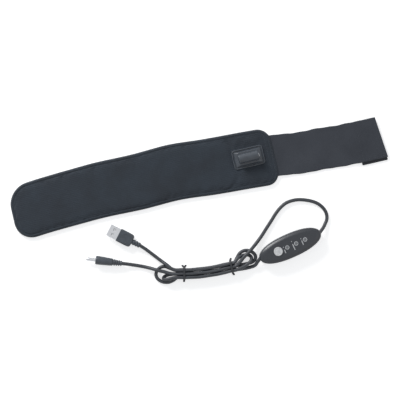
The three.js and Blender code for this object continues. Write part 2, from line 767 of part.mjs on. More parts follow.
function controller() {
  const ceiling = caseHeight - caseWall;
  const boardTop = boardHeight + boardThickness;
  const partZ = boardTop + layerGap;
  const capZ = ceiling - fitGap - buttonFlangeThickness;
  const switchTop = capZ - buttonTravel - seat;
  const plungerZ = switchTop - plungerDepth;
  const capRadius = buttonDiameter / 2;
  const cap = new THREE.LatheGeometry([
    new THREE.Vector2(0, capZ), new THREE.Vector2(capRadius + buttonFlange, capZ),
    new THREE.Vector2(capRadius + buttonFlange, capZ + buttonFlangeThickness),
    new THREE.Vector2(capRadius, capZ + buttonFlangeThickness),
    new THREE.Vector2(capRadius, caseHeight + buttonProud - 0.5),
    new THREE.Vector2(capRadius - 0.15, caseHeight + buttonProud - 0.15),
    new THREE.Vector2(capRadius - 0.5, caseHeight + buttonProud),
    new THREE.Vector2(0, caseHeight + buttonProud),
  ], 36).rotateX(Math.PI / 2).translate(buttonX, 0, 0);
  const switchBody = solidOf(block(switchSize, switchSize, switchTop - partZ, buttonX, 0, partZ)).subtract(
    solidOf(pin(switchPlungerDiameter + 2 * seat, caseHeight, buttonX, 0, plungerZ - buttonTravel - seat)),
  );
  const plunger = pin(switchPlungerDiameter, capZ - layerGap - plungerZ, buttonX, 0, plungerZ);
  const board = plate(roundedRectangle(boardLength, boardWidth, 2), boardHeight, boardTop);
  const places = windowPlaces();
  const transistorX = (places[0] + places[1]) / 2;
  const chipX = (places[1] + places[2]) / 2;
  const meshes = [
    ...controllerShells(),
    piece('circuit_board', board, finish.board),
    piece('switch_body', switchBody, finish.blackWire),
    piece('switch_plunger', plunger, finish.blackWire),
    piece('button_cap', cap, finish.whitePlastic),
    piece('control_chip', block(chipLength, chipWidth, chipHeight, chipX, 0, partZ), finish.blackWire),
    piece('power_transistor', block(
      transistorLength, transistorWidth, transistorHeight, transistorX, 0, partZ,
    ), finish.blackWire),
  ];
  places.forEach((x, i) => {
    const flangeZ = ceiling - fitGap - windowFlangeThickness;
    const flangeRadius = windowDiameter / 2 + windowFlange;
    const lens = new THREE.LatheGeometry([
      new THREE.Vector2(0, flangeZ), new THREE.Vector2(flangeRadius, flangeZ),
      new THREE.Vector2(flangeRadius, flangeZ + windowFlangeThickness),
      new THREE.Vector2(windowDiameter / 2, flangeZ + windowFlangeThickness),
      new THREE.Vector2(windowDiameter / 2, caseHeight), new THREE.Vector2(0, caseHeight),
    ], 20).rotateX(Math.PI / 2).translate(x, 0, 0);
    meshes.push(piece(`indicator_window_${i + 1}`, lens, finish.clear));
    meshes.push(piece(`indicator_led_${i + 1}`, block(ledLength, ledWidth, ledHeight, x, 0, partZ), finish.clear));
  });
  return placed(casePlace, meshes);
}

// The hank: six runs of cord between two ties, one solid of their outer shape.
const hankLine = planeCurve(hankRoute);
const hankStartX = hankRoute[0][0];
const hankEndX = hankRoute[hankRoute.length - 1][0];

function hank() {
  const outline = bandOutline(hankLine, hankStartX, hankEndX, () => hankWidth / 2, hankEndCorner, hankEndCorner, 8);
  return piece('cord_hank', plate(outline, hankBottomZ, hankBottomZ + hankHeight, hankEdge, 2), finish.cord);
}

// A twist tie: a flat band around the hank, with twisted tails on the sides given.
function twistTie(name, x, tails) {
  const around = seat + tieThickness;
  const outer = roundedRectangle(hankHeight + 2 * around, hankWidth + 2 * around, hankEdge + around);
  const inner = roundedRectangle(hankHeight + 2 * seat, hankWidth + 2 * seat, hankEdge);
  const z = hankBottomZ + hankHeight / 2;
  let band = solidOf(alongX(plate(outer, -tieWidth / 2, tieWidth / 2)))
    .subtract(solidOf(alongX(plate(inner, -tieWidth, tieWidth))));
  tails.forEach(([side, lean]) => {
    const tail = new THREE.CylinderGeometry(tieTailRadius * 0.8, tieTailRadius, tieTailLength, 10);
    tail.translate(0, tieTailLength / 2 - tieThickness / 2, 0);
    if (side < 0) tail.rotateZ(Math.PI);
    tail.rotateZ(THREE.MathUtils.degToRad(-side * lean));
    tail.translate(0, side * (hankWidth / 2 + around), 0);
    band = band.add(solidOf(tail));
  });
  const step = 0.5;
  const slope = (heightOnCurve(hankLine, x + step) - heightOnCurve(hankLine, x - step)) / (2 * step);
  const place = { x, y: heightOnCurve(hankLine, x), heading: THREE.MathUtils.radToDeg(Math.atan(slope)) };
  return placed(place, [piece(name, band.translate([0, 0, z]), finish.blackWire)]);
}

// The free stretches of cord between the plugs, the hank and the controller, chosen by hand.
const cordStretches = {
  cord_from_usb_plug: { steps: 7, points: [
    [-71.3, -60, 3.8], [-67.3, -64.2, 2.7], [-61.1, -71.6, 1.9], [-55.2, -78.6, 2.8], [-49.9, -84.4, 5.7],
    [-46.4, -88.8, 6.9], [-43, -91.2, 6.9]] },
  cord_from_dc_plug: { steps: 8, points: [
    [-92.5, -73.2, 4.4], [-88, -74.9, 3.3], [-80, -78.1, 1.9], [-72, -81.5, 1.9], [-66.3, -84.2, 3.6],
    [-61, -87, 5.7], [-54, -90.4, 6], [-48, -93.7, 6.6], [-42.4, -95.2, 6.9]] },
  cord_left_loop: { steps: 15, points: [
    [-42.7, -99.1, 3.1], [-46.8, -100.8, 2.2], [-52, -101.8, 1.9], [-58, -100, 1.9], [-62.3, -95.6, 1.9],
    [-62.7, -91, 1.9], [-60.4, -87.4, 1.9], [-56.2, -85.4, 1.9], [-51.8, -85.8, 1.9], [-47.6, -88.6, 2.1],
    [-43, -91.2, 3.1]] },
  cord_left_fold: { steps: 8, points: [
    [-42.1, -95.3, 3.1], [-46, -94.9, 2.3], [-51, -94.4, 2], [-54.7, -95.6, 2.8], [-55.1, -97.6, 4.6],
    [-51.5, -98.6, 5.9], [-46.5, -98.4, 6.6], [-42.3, -98.8, 6.9]] },
  cord_first_right_loop: { steps: 15, points: [
    [16.4, -96.8, 3.1], [19.8, -93.2, 2.3], [23.5, -89.5, 1.9], [28, -88, 1.9], [32.6, -89, 1.9],
    [36.3, -91.7, 1.9], [38, -95.3, 1.9], [37, -98.8, 1.9], [33.6, -100.9, 1.9], [28.5, -101.3, 1.9],
    [22, -101.1, 2.3], [16, -100.8, 3.1]] },
  cord_second_right_loop: { steps: 11, points: [
    [16.3, -96.9, 6.9], [19.6, -94.1, 6.5], [23.5, -92.6, 4.7], [27, -92.5, 2.8], [30, -92.7, 2.1],
    [32.6, -94, 2.4], [33.7, -96.3, 3.7], [32.9, -98.6, 5.3], [30.6, -100.6, 6], [26.6, -102.2, 6.3], [21, -103.8, 6.7],
    [16, -104.6, 6.9]] },
  cord_to_controller: { steps: 5, points: [
    [15.9, -104.6, 3.1], [22, -105.3, 2.1], [29.5, -105.5, 1.9], [35.4, -104.6, 3.8], [38.8, -101.5, 5.1],
    [41.1, -99.65, 5.4]] },
  cord_from_controller: { steps: 22, points: [
    [16.6, -100.7, 6.9], [21.2, -98, 7.1], [27, -93.5, 7.1], [34.5, -88.8, 5.8], [41, -84, 3], [48.1, -78, 1.9],
    [54.8, -71.4, 1.9], [61.6, -64.8, 1.9], [67.5, -58.9, 1.9], [73.5, -54.2, 1.9], [79.5, -51.2, 1.9],
    [85.9, -50.2, 1.9], [92, -50.6, 1.9], [98, -52.2, 1.9], [105.6, -55.5, 1.9], [110.2, -58.7, 1.9],
    [113.5, -62.5, 1.9], [115.8, -67, 1.9], [116.5, -71.6, 1.9], [115.6, -76.2, 1.9], [113, -80, 2.2],
    [110, -83.4, 3.8], [106.2, -86.6, 5.4]] },
};

function cords() {
  return Object.entries(cordStretches).map(([name, stretch]) => {
    const points = stretch.points.map((point) => new THREE.Vector3(...point));
    const route = new THREE.CatmullRomCurve3(points, false, 'centripetal');
    return piece(name, tube(route, cordDiameter, stretch.steps, cordSides), finish.cord);
  });
}

const group = new THREE.Group();
group.add(
  ...pad(),
  ...socket(),
  usbPlug(),
  dcPlug(),
  controller(),
  hank(),
  twistTie('twist_tie_left', tieLeftX, [[1, 40], [1, -35], [-1, 10]]),
  twistTie('twist_tie_right', tieRightX, [[1, -20], [-1, 15]]),
  ...cords(),
);

export default group;
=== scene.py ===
# Telescope dew heater strip with its switched USB power lead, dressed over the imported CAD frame.
# The sections follow the object as it is put together.
# Sizes are in millimetres and go to metres as meshes are made.
import math

import bmesh
import bpy
import numpy as np
from mathutils import Matrix, Vector


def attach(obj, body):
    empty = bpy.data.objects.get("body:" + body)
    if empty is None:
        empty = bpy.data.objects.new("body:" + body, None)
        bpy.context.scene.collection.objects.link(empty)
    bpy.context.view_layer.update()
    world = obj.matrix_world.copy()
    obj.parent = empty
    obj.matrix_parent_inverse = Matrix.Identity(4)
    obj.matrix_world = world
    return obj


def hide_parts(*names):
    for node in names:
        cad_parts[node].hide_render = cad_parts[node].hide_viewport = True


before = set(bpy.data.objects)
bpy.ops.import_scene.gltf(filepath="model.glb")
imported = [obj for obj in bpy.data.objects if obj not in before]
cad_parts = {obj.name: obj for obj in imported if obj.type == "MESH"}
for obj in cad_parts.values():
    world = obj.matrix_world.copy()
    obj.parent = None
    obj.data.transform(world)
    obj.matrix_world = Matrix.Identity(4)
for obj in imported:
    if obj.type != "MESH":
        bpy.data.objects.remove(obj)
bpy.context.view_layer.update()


# Camera, table and light.
# The photograph looks straight down on the strip from about 0.94 m, turned by 13 degrees, on a white table.
# Light is soft and comes mostly from the picture's upper left.
MM = 0.001
VIEW_CENTRE = (-3.3, -28.9)
VIEW_HEIGHT = 944
VIEW_TURN = -13
VIEW_LENS = 85
VIEW_SENSOR = 36
TABLE_DROP = 0.2
TABLE_REACH = 3000
TABLE_GLOW = 0.62
STUDIO_LIGHT = 0.35
SCENE = bpy.context.scene


def linear(code):
    """A colour written as sRGB hex, as the linear numbers that a shader takes."""
    parts = [int(code[i : i + 2], 16) / 255 for i in (1, 3, 5)]
    return [p / 12.92 if p <= 0.04045 else ((p + 0.055) / 1.055) ** 2.4 for p in parts] + [1.0]


def add_node(tree, kind, links=None, values=None, **settings):
    """Adds a node with its settings, its fixed inputs and the sockets that feed it."""
    made = tree.nodes.new(kind)
    for key, value in settings.items():
        setattr(made, key, value)
    for key, value in (values or {}).items():
        made.inputs[key].default_value = value
    for key, source in (links or {}).items():
        tree.links.new(source, made.inputs[key])
    return made


def new_material(name, code, roughness, **values):
    """A material with its shader alone. Values go on the shader's own sockets."""
    made = bpy.data.materials.new(name)
    made.use_nodes = True
    shader = made.node_tree.nodes["Principled BSDF"]
    shader.inputs["Base Color"].default_value = linear(code)
    shader.inputs["Roughness"].default_value = roughness
    for key, value in values.items():
        shader.inputs[key.replace("_", " ").title().replace("Ior", "IOR")].default_value = value
    return made, made.node_tree, shader


def add_object(name, data):
    """An object in the scene."""
    made = bpy.data.objects.new(name, data)
    SCENE.collection.objects.link(made)
    return made


def seen_directly(tree):
    """One for rays from the camera, or by way of a mirror or glass, and nought for the rest."""
    path = add_node(tree, "ShaderNodeLightPath")
    first = add_node(tree, "ShaderNodeMath", operation="MAXIMUM", links={
        0: path.outputs["Is Camera Ray"], 1: path.outputs["Is Glossy Ray"]})
    return add_node(tree, "ShaderNodeMath", operation="MAXIMUM", links={
        0: first.outputs[0], 1: path.outputs["Is Transmission Ray"]}).outputs[0]


camera_data = bpy.data.cameras.new("camera")
camera_data.lens = VIEW_LENS
camera_data.sensor_width = VIEW_SENSOR
camera_data.clip_start = 0.01
camera = add_object("camera", camera_data)
camera.location = (VIEW_CENTRE[0] * MM, VIEW_CENTRE[1] * MM, VIEW_HEIGHT * MM)
camera.rotation_euler = (0, 0, math.radians(VIEW_TURN))
SCENE.camera = camera
SCENE.view_settings.view_transform = "Standard"

table_mesh = bpy.data.meshes.new("table")
table_mesh.from_pydata(
    [(x * TABLE_REACH * MM, y * TABLE_REACH * MM, -TABLE_DROP * MM)
     for x, y in ((-1, -1), (1, -1), (1, 1), (-1, 1))], [], [(0, 1, 2, 3)])
table = add_object("table", table_mesh)
table_material = bpy.data.materials.new("table matt white laminate")
table_material.use_nodes = True
tree = table_material.node_tree
tree.nodes.clear()
laminate = add_node(tree, "ShaderNodeBsdfDiffuse", values={"Color": linear("#F2F2F2")})
glow = add_node(tree, "ShaderNodeEmission", values={"Color": (1, 1, 1, 1), "Strength": TABLE_GLOW})
lifted = add_node(tree, "ShaderNodeAddShader", links={0: laminate.outputs[0], 1: glow.outputs[0]})
table_shader = add_node(tree, "ShaderNodeMixShader", links={
    0: seen_directly(tree), 1: laminate.outputs[0], 2: lifted.outputs[0]})
add_node(tree, "ShaderNodeOutputMaterial", links={"Surface": table_shader.outputs[0]})
table.data.materials.append(table_material)

world = bpy.data.worlds.new("studio")
SCENE.world = world
world.use_nodes = True
tree = world.node_tree
tree.nodes.clear()
dim = add_node(tree, "ShaderNodeBackground", values={"Color": linear("#F4F7FB"), "Strength": STUDIO_LIGHT})
white = add_node(tree, "ShaderNodeBackground", values={"Color": (1, 1, 1, 1), "Strength": 1.0})
sky = add_node(tree, "ShaderNodeMixShader", links={
    0: seen_directly(tree), 1: dim.outputs[0], 2: white.outputs[0]})
add_node(tree, "ShaderNodeOutputWorld", links={"Surface": sky.outputs[0]})


def softbox(name, place, size, power):
    """A square softbox that faces the middle of the view."""
    data = bpy.data.lights.new(name, "AREA")
    data.size = size
    data.energy = power
    lamp = add_object(name, data)
    lamp.location = place
    aim = Vector((VIEW_CENTRE[0] * MM, VIEW_CENTRE[1] * MM, 0)) - Vector(place)
    lamp.rotation_euler = aim.to_track_quat("-Z", "Y").to_euler()


softbox("key_softbox", (-0.32, 0.82, 0.52), 0.35, 6.6)
softbox("fill_softbox", (0.60, -0.35, 0.80), 0.7, 0.6)
softbox("rim_softbox", (-0.52, 0.78, 0.20), 0.5, 1.5)


# Power lead: round PVC cord, 3.5 mm across.
# One length runs from the USB plug through the folded bundle to the controller,
# and one from there to the round plug.
# Its slack is folded back and forth into a bundle of six runs, with loops at both ends, and two ties hold it.
BODY = "strip_and_lead"
CORD = 3.5
CORD_STEP = 0.9
CORD_IN_CASE = 2.2
CORD_IN_PLUG = 2.5
RUN_PITCH = 3.8
ROW_LOW = 3.1
ROW_HIGH = 6.9
HANK_LINE = [(-41.5, -95.3), (-26, -98.5), (-7, -100.6), (15.4, -100.8)]
FROM_USB = [(-71.3, -60, 3.8), (-67.3, -64.2, 2.7), (-61.1, -71.6, 1.9), (-55.2, -78.6, 2.8),
            (-49.9, -84.4, 5.7),
            (-46.4, -88.8, 6.9), (-43, -91.2, 6.9)]
FROM_ROUND_PLUG = [(-92.5, -73.2, 4.4), (-88, -74.9, 3.3), (-80, -78.1, 1.9), (-72, -81.5, 1.9),
                   (-66.3, -84.2, 3.6),
                   (-61, -87, 5.7), (-54, -90.4, 6), (-48, -93.7, 6.6), (-42.4, -95.2, 6.9)]
LEFT_LOOP = [(-42.7, -99.1, 3.1), (-46.8, -100.8, 2.2), (-52, -101.8, 1.9), (-58, -100, 1.9),
             (-62.3, -95.6, 1.9),
             (-62.7, -91, 1.9), (-60.4, -87.4, 1.9), (-56.2, -85.4, 1.9), (-51.8, -85.8, 1.9),
             (-47.6, -88.6, 2.1),
             (-43, -91.2, 3.1)]
LEFT_FOLD = [(-42.1, -95.3, 3.1), (-46, -94.9, 2.3), (-50.5, -94.6, 1.9), (-53.9, -94.9, 2.2),
             (-56.1, -96.2, 3.5),
             (-55.9, -97.6, 5.6), (-53.2, -98.3, 6.9), (-49.5, -98.4, 7.2), (-46, -98.4, 7),
             (-42.3, -98.8, 6.9)]
FIRST_RIGHT_LOOP = [(16.4, -96.8, 3.1), (19.8, -93.2, 2.3), (23.5, -89.5, 1.9), (28, -88, 1.9),
                    (32.6, -89, 1.9),
                    (36.3, -91.7, 1.9), (38, -95.3, 1.9), (37, -98.8, 1.9), (33.6, -100.9, 1.9),
                    (28.5, -101.3, 1.9),
                    (22, -101.1, 2.3), (16, -100.8, 3.1)]
SECOND_RIGHT_LOOP = [(16.3, -96.9, 6.9), (19.6, -94.1, 6.5), (23.5, -92.6, 4.7), (27, -92.5, 2.8),
                     (30, -92.7, 2.1),
                     (32.6, -94, 2.4), (33.7, -96.3, 3.7), (32.9, -98.6, 5.3), (30.6, -100.6, 6),
                     (26.6, -102.2, 6.3),
                     (21, -103.8, 6.7), (16, -104.6, 6.9)]
TO_CONTROLLER = [(15.9, -104.6, 3.1), (22, -105.3, 2.1), (29.5, -105.5, 1.9), (35.4, -104.6, 3.8),
                 (38.8, -101.5, 5.1), (41.1, -99.65, 5.4)]
FROM_CONTROLLER = [(16.6, -100.7, 6.9), (21.2, -98, 7.1), (27, -93.5, 7.1), (34.5, -88.8, 5.8), (41, -84, 3),
                   (48.1, -78, 1.9), (54.8, -71.4, 1.9), (61.6, -64.8, 1.9), (67.5, -58.9, 1.9),
                   (73.5, -54.2, 1.9),
                   (79.5, -51.2, 1.9), (85.9, -50.2, 1.9), (92, -50.6, 1.9), (98, -52.2, 1.9),
                   (105.6, -55.5, 1.9),
                   (110.2, -58.7, 1.9), (113.5, -62.5, 1.9), (115.8, -67, 1.9), (116.5, -71.6, 1.9),
                   (115.6, -76.2, 1.9), (113, -80, 2.2), (110, -83.4, 3.8), (106.2, -86.6, 5.4)]


def spline(points, step):
    """A smooth line through the points, with its own points a step apart."""
    p = np.array(points, float)
    p = np.vstack([2 * p[0] - p[1], p, 2 * p[-1] - p[-2]])
    out = []
    for i in range(1, len(p) - 2):
        a, b, c, d = p[i - 1 : i + 3]
        t1 = max(np.linalg.norm(b - a), 1e-9) ** 0.5
        t2 = t1 + max(np.linalg.norm(c - b), 1e-9) ** 0.5
        t3 = t2 + max(np.linalg.norm(d - c), 1e-9) ** 0.5
        count = max(2, int(np.linalg.norm(c - b) / step))
        for t in np.linspace(t1, t2, count, endpoint=False):
            q = (a * (t1 - t) + b * t) / t1
            r = (b * (t2 - t) + c * (t - t1)) / (t2 - t1)
            s = (c * (t3 - t) + d * (t - t2)) / (t3 - t2)
            u = (q * (t2 - t) + r * t) / t2
            v = (r * (t3 - t) + s * (t - t1)) / (t3 - t1)
            out.append((u * (t2 - t) + v * (t - t1)) / (t2 - t1))
    out.append(p[-2])
    return np.array(out)


def height_on(points, x):
    """The y of a line of (x, y) points at any x, as one smooth curve."""
    line = spline([(a, b, 0) for a, b in points], 1)
    return np.interp(x, line[:, 0], line[:, 1])


def run(column, z):
    """One run through the bundle, from left to right: column 1 lies toward the strip, and -1 away from it."""
    xs = [-36, -29, -21, -12, -3, 5, 11.5]
    wave = [0.0, 0.12, -0.1, 0.08, -0.12, 0.1, 0.0]
    shift = int(2 + column + (z > 5))
    return [(x, float(height_on(HANK_LINE, x)) + column * (RUN_PITCH - 0.05) + wave[(i + shift) % 7], z)
            for i, x in enumerate(xs)]


def back(points):
    return points[::-1]


def tail_into(points, length):
    """The point that carries a line's first stretch on by a length, into the piece that it enters."""
    a, b = (np.array(p, float) for p in points[:2])
    return tuple(a + (a - b) / np.linalg.norm(a - b) * length)


into_case_left = tail_into(back(TO_CONTROLLER), CORD_IN_CASE)
into_case_right = tail_into(back(FROM_CONTROLLER), CORD_IN_CASE)
usb_side_route = [
    into_case_left, *back(TO_CONTROLLER), *back(run(-1, ROW_LOW)), *LEFT_LOOP, *run(1, ROW_LOW),
    *FIRST_RIGHT_LOOP, *back(run(0, ROW_LOW)), *LEFT_FOLD, *run(-1, ROW_HIGH), *back(SECOND_RIGHT_LOOP),
    *back(run(1, ROW_HIGH)), *back(FROM_USB), tail_into(FROM_USB, CORD_IN_PLUG)]
strip_side_route = [
    into_case_right, *back(FROM_CONTROLLER), *back(run(0, ROW_HIGH)), *back(FROM_ROUND_PLUG),
    tail_into(FROM_ROUND_PLUG, CORD_IN_PLUG)]


def noise_over(tree, scale, detail, **more):
    """Noise in the object's own space, in cells per metre."""
    place = add_node(tree, "ShaderNodeTexCoord")
    return add_node(tree, "ShaderNodeTexNoise", links={"Vector": place.outputs["Object"]},
                    values={"Scale": scale, "Detail": detail, **more}).outputs["Fac"]


def wave_over(tree, scale, axis, **more):
    """Bands along an axis of the object's own space."""
    place = add_node(tree, "ShaderNodeTexCoord")
    extra = {key.replace("_", " "): value for key, value in more.items()}
    return add_node(tree, "ShaderNodeTexWave", links={"Vector": place.outputs["Object"]},
                    values={"Scale": scale, **extra}, bands_direction=axis).outputs["Fac"]


def tones(tree, source, low, high, stops=(0.0, 1.0)):
    """A colour between two tones. The stops say where in the source each of them is reached."""
    ramp = add_node(tree, "ShaderNodeValToRGB", links={"Fac": source})
    for stop, spot, code in zip(ramp.color_ramp.elements, stops, (low, high)):
        stop.position = spot
        stop.color = linear(code)
    return ramp.outputs["Color"]


def flecked(tree, colour, grain, top, dark, light):
    """A colour that a fine grain darkens and lightens."""
    share = add_node(tree, "ShaderNodeMapRange", links={"Value": grain},
                     values={"From Min": 0.3, "From Max": top, "To Min": dark, "To Max": light})
    return add_node(tree, "ShaderNodeVectorMath", operation="SCALE",
                    links={0: colour, "Scale": share.outputs["Result"]}).outputs[0]


def finish_with(tree, shader, colour, height=None, strength=0.0, depth=0.0002):
    """Gives a shader its colour and, where there is a height, a bump of a depth in metres."""
    tree.links.new(colour, shader.inputs["Base Color"])
    if height is not None:
        bump = add_node(tree, "ShaderNodeBump", links={"Height": height},
                        values={"Strength": strength, "Distance": depth})
        tree.links.new(bump.outputs["Normal"], shader.inputs["Normal"])


# Soft PVC, extruded: a satin skin with a faint grain, and a grey bloom where it has been handled.
cord_material, tree, shader = new_material("cord jacket soft pvc", "#33363C", 0.42, ior=1.52)
finish_with(tree, shader, tones(tree, noise_over(tree, 160, 3), "#2D3137", "#393D44", (0.35, 0.7)),
            noise_over(tree, 1800, 2), 0.12)


def cord_curve(name, route):
    """A round cord on a smooth line through the route."""
    line = spline(route, CORD_STEP)
    data = bpy.data.curves.new(name, "CURVE")
    data.dimensions = "3D"
    data.bevel_depth = CORD / 2 * MM
    data.bevel_resolution = 5
    data.use_fill_caps = True
    path = data.splines.new("POLY")
    path.points.add(len(line) - 1)
    for spot, p in zip(path.points, line):
        spot.co = (p[0] * MM, p[1] * MM, p[2] * MM, 1)
    made = add_object(name, data)
    data.materials.append(cord_material)
    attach(made, BODY)
    return made, float(np.linalg.norm(np.diff(line, axis=0), axis=1).sum()) * MM


usb_side_cord, usb_side_length = cord_curve("cord_usb_to_controller", usb_side_route)
strip_side_cord, strip_side_length = cord_curve("cord_controller_to_plug", strip_side_route)
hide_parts("cord_hank", "cord_from_usb_plug", "cord_left_loop", "cord_left_fold",
            "cord_first_right_loop", "cord_second_right_loop", "cord_to_controller")
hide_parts("cord_from_dc_plug", "cord_from_controller")


# Pad: two fabric covers, joined around a flat heating element and a thin foam.
# The covers are brushed nylon knit, cut with rounded corners, and their edges are pressed together.
# The outer cover swells a little between the pressed seam and the socket.
PAD_START, PAD_END = -189.0, 79.0
PAD_LINE = [(-189, -2.6), (-160, 0.3), (-125, 2.2), (-98, 3.2), (-60, 2.7), (-22, 3.8), (14, 1.1), (50, -0.7),
            (79, -2.4)]
PAD_HALF_START, PAD_HALF_END = 27.4, 28.8
PAD_HALF_ROUND = 28
PAD_END_Y = -2.4
EDGE_BAND = 9.3
PAD_CORNER_START, PAD_CORNER_END = 20.0, 13.0
PAD_SPLIT = 1.05
PAD_TOP = 4.6
EDGE_ROUND = 2.4
SEAM_IN = 3.4
HEM_IN = 5.0
SOCKET = (53.0, 1.7)
FLANGE = (31.5, 19.4)
STRAP_HALF = 20.8
SIM_SCALE = 5


def corner_inset(distance, radius):
    return 0.0 if distance >= radius else radius - math.sqrt(max(radius ** 2 - (radius - distance) ** 2, 0))


def pad_half(x):
    along = (x - PAD_START) / (PAD_END - PAD_START)
    half = PAD_HALF_START + (PAD_HALF_END - PAD_HALF_START) * along
    return half - corner_inset(x - PAD_START, PAD_CORNER_START) - corner_inset(PAD_END - x, PAD_CORNER_END)


NEAR_EDGE = [0, 0.15, 0.4, 0.8, 1.3, 1.9, 2.6, 3.1, 3.5, 3.9, 4.4, 5.0, 5.6, 6.5, 7.8]
stations = [PAD_START + d for d in NEAR_EDGE]
stations += list(np.linspace(PAD_START + EDGE_BAND, PAD_END - EDGE_BAND, 128))
stations += [PAD_END - d for d in reversed(NEAR_EDGE)]
across = [-1 + d / PAD_HALF_ROUND for d in NEAR_EDGE]
across += list(np.linspace(-1 + EDGE_BAND / PAD_HALF_ROUND, 1 - EDGE_BAND / PAD_HALF_ROUND, 20))
across += [1 - d / PAD_HALF_ROUND for d in reversed(NEAR_EDGE)]
pad_xs = np.array(stations)
pad_middles = height_on(PAD_LINE, pad_xs)
pad_halves = np.array([pad_half(x) for x in stations])
grid_x = np.repeat(pad_xs[:, None], len(across), 1)
grid_y = pad_middles[:, None] + pad_halves[:, None] * np.array(across)[None, :]
rim_xs = np.concatenate([PAD_START + PAD_CORNER_START * (1 - np.cos(np.linspace(0, np.pi / 2, 24))),
                         np.linspace(-168, 65, 90),
                         PAD_END - PAD_CORNER_END * (1 - np.cos(np.linspace(np.pi / 2, 0, 24)))])
rim_mid = height_on(PAD_LINE, rim_xs)
rim_half = np.array([pad_half(x) for x in rim_xs])
rim = np.vstack([np.stack([rim_xs, rim_mid + rim_half], 1), np.stack([rim_xs, rim_mid - rim_half], 1)[::-1]])


def distance_to(loop, x, y):
    """How far each point lies from a closed line of points."""
    spots = np.stack([x, y], -1)[..., None, :]
    a = loop[None, None]
    b = np.roll(loop, -1, 0)[None, None]
    span = b - a
    share = np.clip(((spots - a) * span).sum(-1) / np.maximum((span ** 2).sum(-1), 1e-9), 0, 1)
    return np.sqrt((((spots - a) - share[..., None] * span) ** 2).sum(-1)).min(-1)


edge_distance = distance_to(rim, grid_x, grid_y)
flange_distance = np.hypot(
    np.maximum(np.abs(grid_x - SOCKET[0]) - FLANGE[0] / 2, 0),
    np.maximum(np.abs(grid_y - SOCKET[1]) - FLANGE[1] / 2, 0))


def groove(distance, at, width, depth):
    return -depth * np.exp(-(((distance - at) / width) ** 2))


rounding = np.sqrt(np.clip(1 - np.clip(1 - edge_distance / EDGE_ROUND, 0, 1) ** 2, 0, 1))
top_z = PAD_SPLIT + 0.35 + (PAD_TOP - PAD_SPLIT - 0.6) * rounding
top_z += groove(edge_distance, SEAM_IN, 0.55, 0.5)
end_hem = np.clip((grid_x - 60) / 10, 0, 1)
top_z += end_hem * (groove(PAD_END - grid_x, HEM_IN + 1.2, 0.5, 0.45))
top_z = np.where(flange_distance < 0.8, PAD_TOP - 0.04, top_z)
strap_slot = np.clip((grid_x - 69) / 2, 0,
                     1) * np.clip((STRAP_HALF + 1.5 - np.abs(grid_y - PAD_END_Y)) / 1.2, 0, 1)
bottom_z = PAD_SPLIT + 0.05 + strap_slot * 1.95
top_z = np.maximum(top_z, bottom_z + 0.25)


def between_sheets(name, rows, columns, top, bottom):
    """A closed mesh from two sheets of points in rows, joined around their rim."""
    low = rows * columns
    faces = []
    for i in range(rows - 1):
        for j in range(columns - 1):
            a, b = i * columns + j, (i + 1) * columns + j
            faces.append((a, b, b + 1, a + 1))
            faces.append((low + a, low + a + 1, low + b + 1, low + b))
    for i in range(rows - 1):
        a, b = i * columns, (i + 1) * columns
        faces.append((a, low + a, low + b, b))
        a, b = a + columns - 1, b + columns - 1
        faces.append((a, b, low + b, low + a))
    for j in range(columns - 1):
        faces.append((j, j + 1, low + j + 1, low + j))
        a = (rows - 1) * columns + j
        faces.append((a, low + a, low + a + 1, a + 1))
    mesh = bpy.data.meshes.new(name)
    mesh.from_pydata((np.vstack([top, bottom]) * MM).tolist(), [], faces)
    mesh.shade_smooth()
    return add_object(name, mesh)


def cushion(name, top, bottom):
    """A closed mesh between two heights over the pad's grid."""
    flat = np.stack([grid_x, grid_y], -1).reshape(-1, 2)
    return between_sheets(name, *grid_x.shape, np.column_stack([flat, top.ravel()]),
                          np.column_stack([flat, bottom.ravel()]))


def swell(piece, held, cap):
    """Puffs the mesh out by pressure, with the held points fixed and no point moved past the cap."""
    rest = np.array([v.co for v in piece.data.vertices])
    for v in piece.data.vertices:
        v.co *= SIM_SCALE
    group = piece.vertex_groups.new(name="held")
    for i, weight in enumerate(held):
        if weight > 0:
            group.add([i], float(weight), "REPLACE")
    cloth = piece.modifiers.new("cloth", "CLOTH")
    cloth.settings.quality = 4
    cloth.settings.mass = 0.15
    cloth.settings.bending_stiffness = 0.6
    cloth.settings.vertex_group_mass = "held"
    cloth.settings.use_pressure = True
    cloth.settings.uniform_pressure_force = 4
    cloth.settings.shrink_min = -0.03
    cloth.settings.effector_weights.gravity = 0
    cloth.collision_settings.use_collision = False
    for number in range(1, 21):
        SCENE.frame_set(number)
    graph = bpy.context.evaluated_depsgraph_get()
    moved = np.array([v.co for v in piece.evaluated_get(graph).data.vertices]) / SIM_SCALE
    piece.modifiers.clear()
    piece.vertex_groups.clear()
    shift = moved - rest
    length = np.linalg.norm(shift, axis=1)
    limit = cap * MM
    scale = limit * np.tanh(length / limit) / np.maximum(length, 1e-9)
    piece.data.vertices.foreach_set("co", (rest + shift * scale[:, None]).ravel())
    piece.data.update()
    SCENE.frame_set(1)


pad_face = cushion("pad_outer_cover", top_z, bottom_z)
top_held = np.clip(1 - (edge_distance - SEAM_IN) / 1.0, 0, 1)
top_held = np.maximum(top_held, np.clip(1 - (flange_distance - 0.6) / 0.8, 0, 1))
top_held = np.maximum(top_held, np.where((PAD_END - grid_x) < HEM_IN + 1.6, 1, 0))
swell(pad_face, np.concatenate([top_held.ravel(), np.ones(top_held.size)]), 0.7)
pad_back = cushion(
    "pad_back_cover", PAD_SPLIT - 0.05 - 0.3 * (1 - rounding), 0.02 + 0.35 * (1 - rounding))

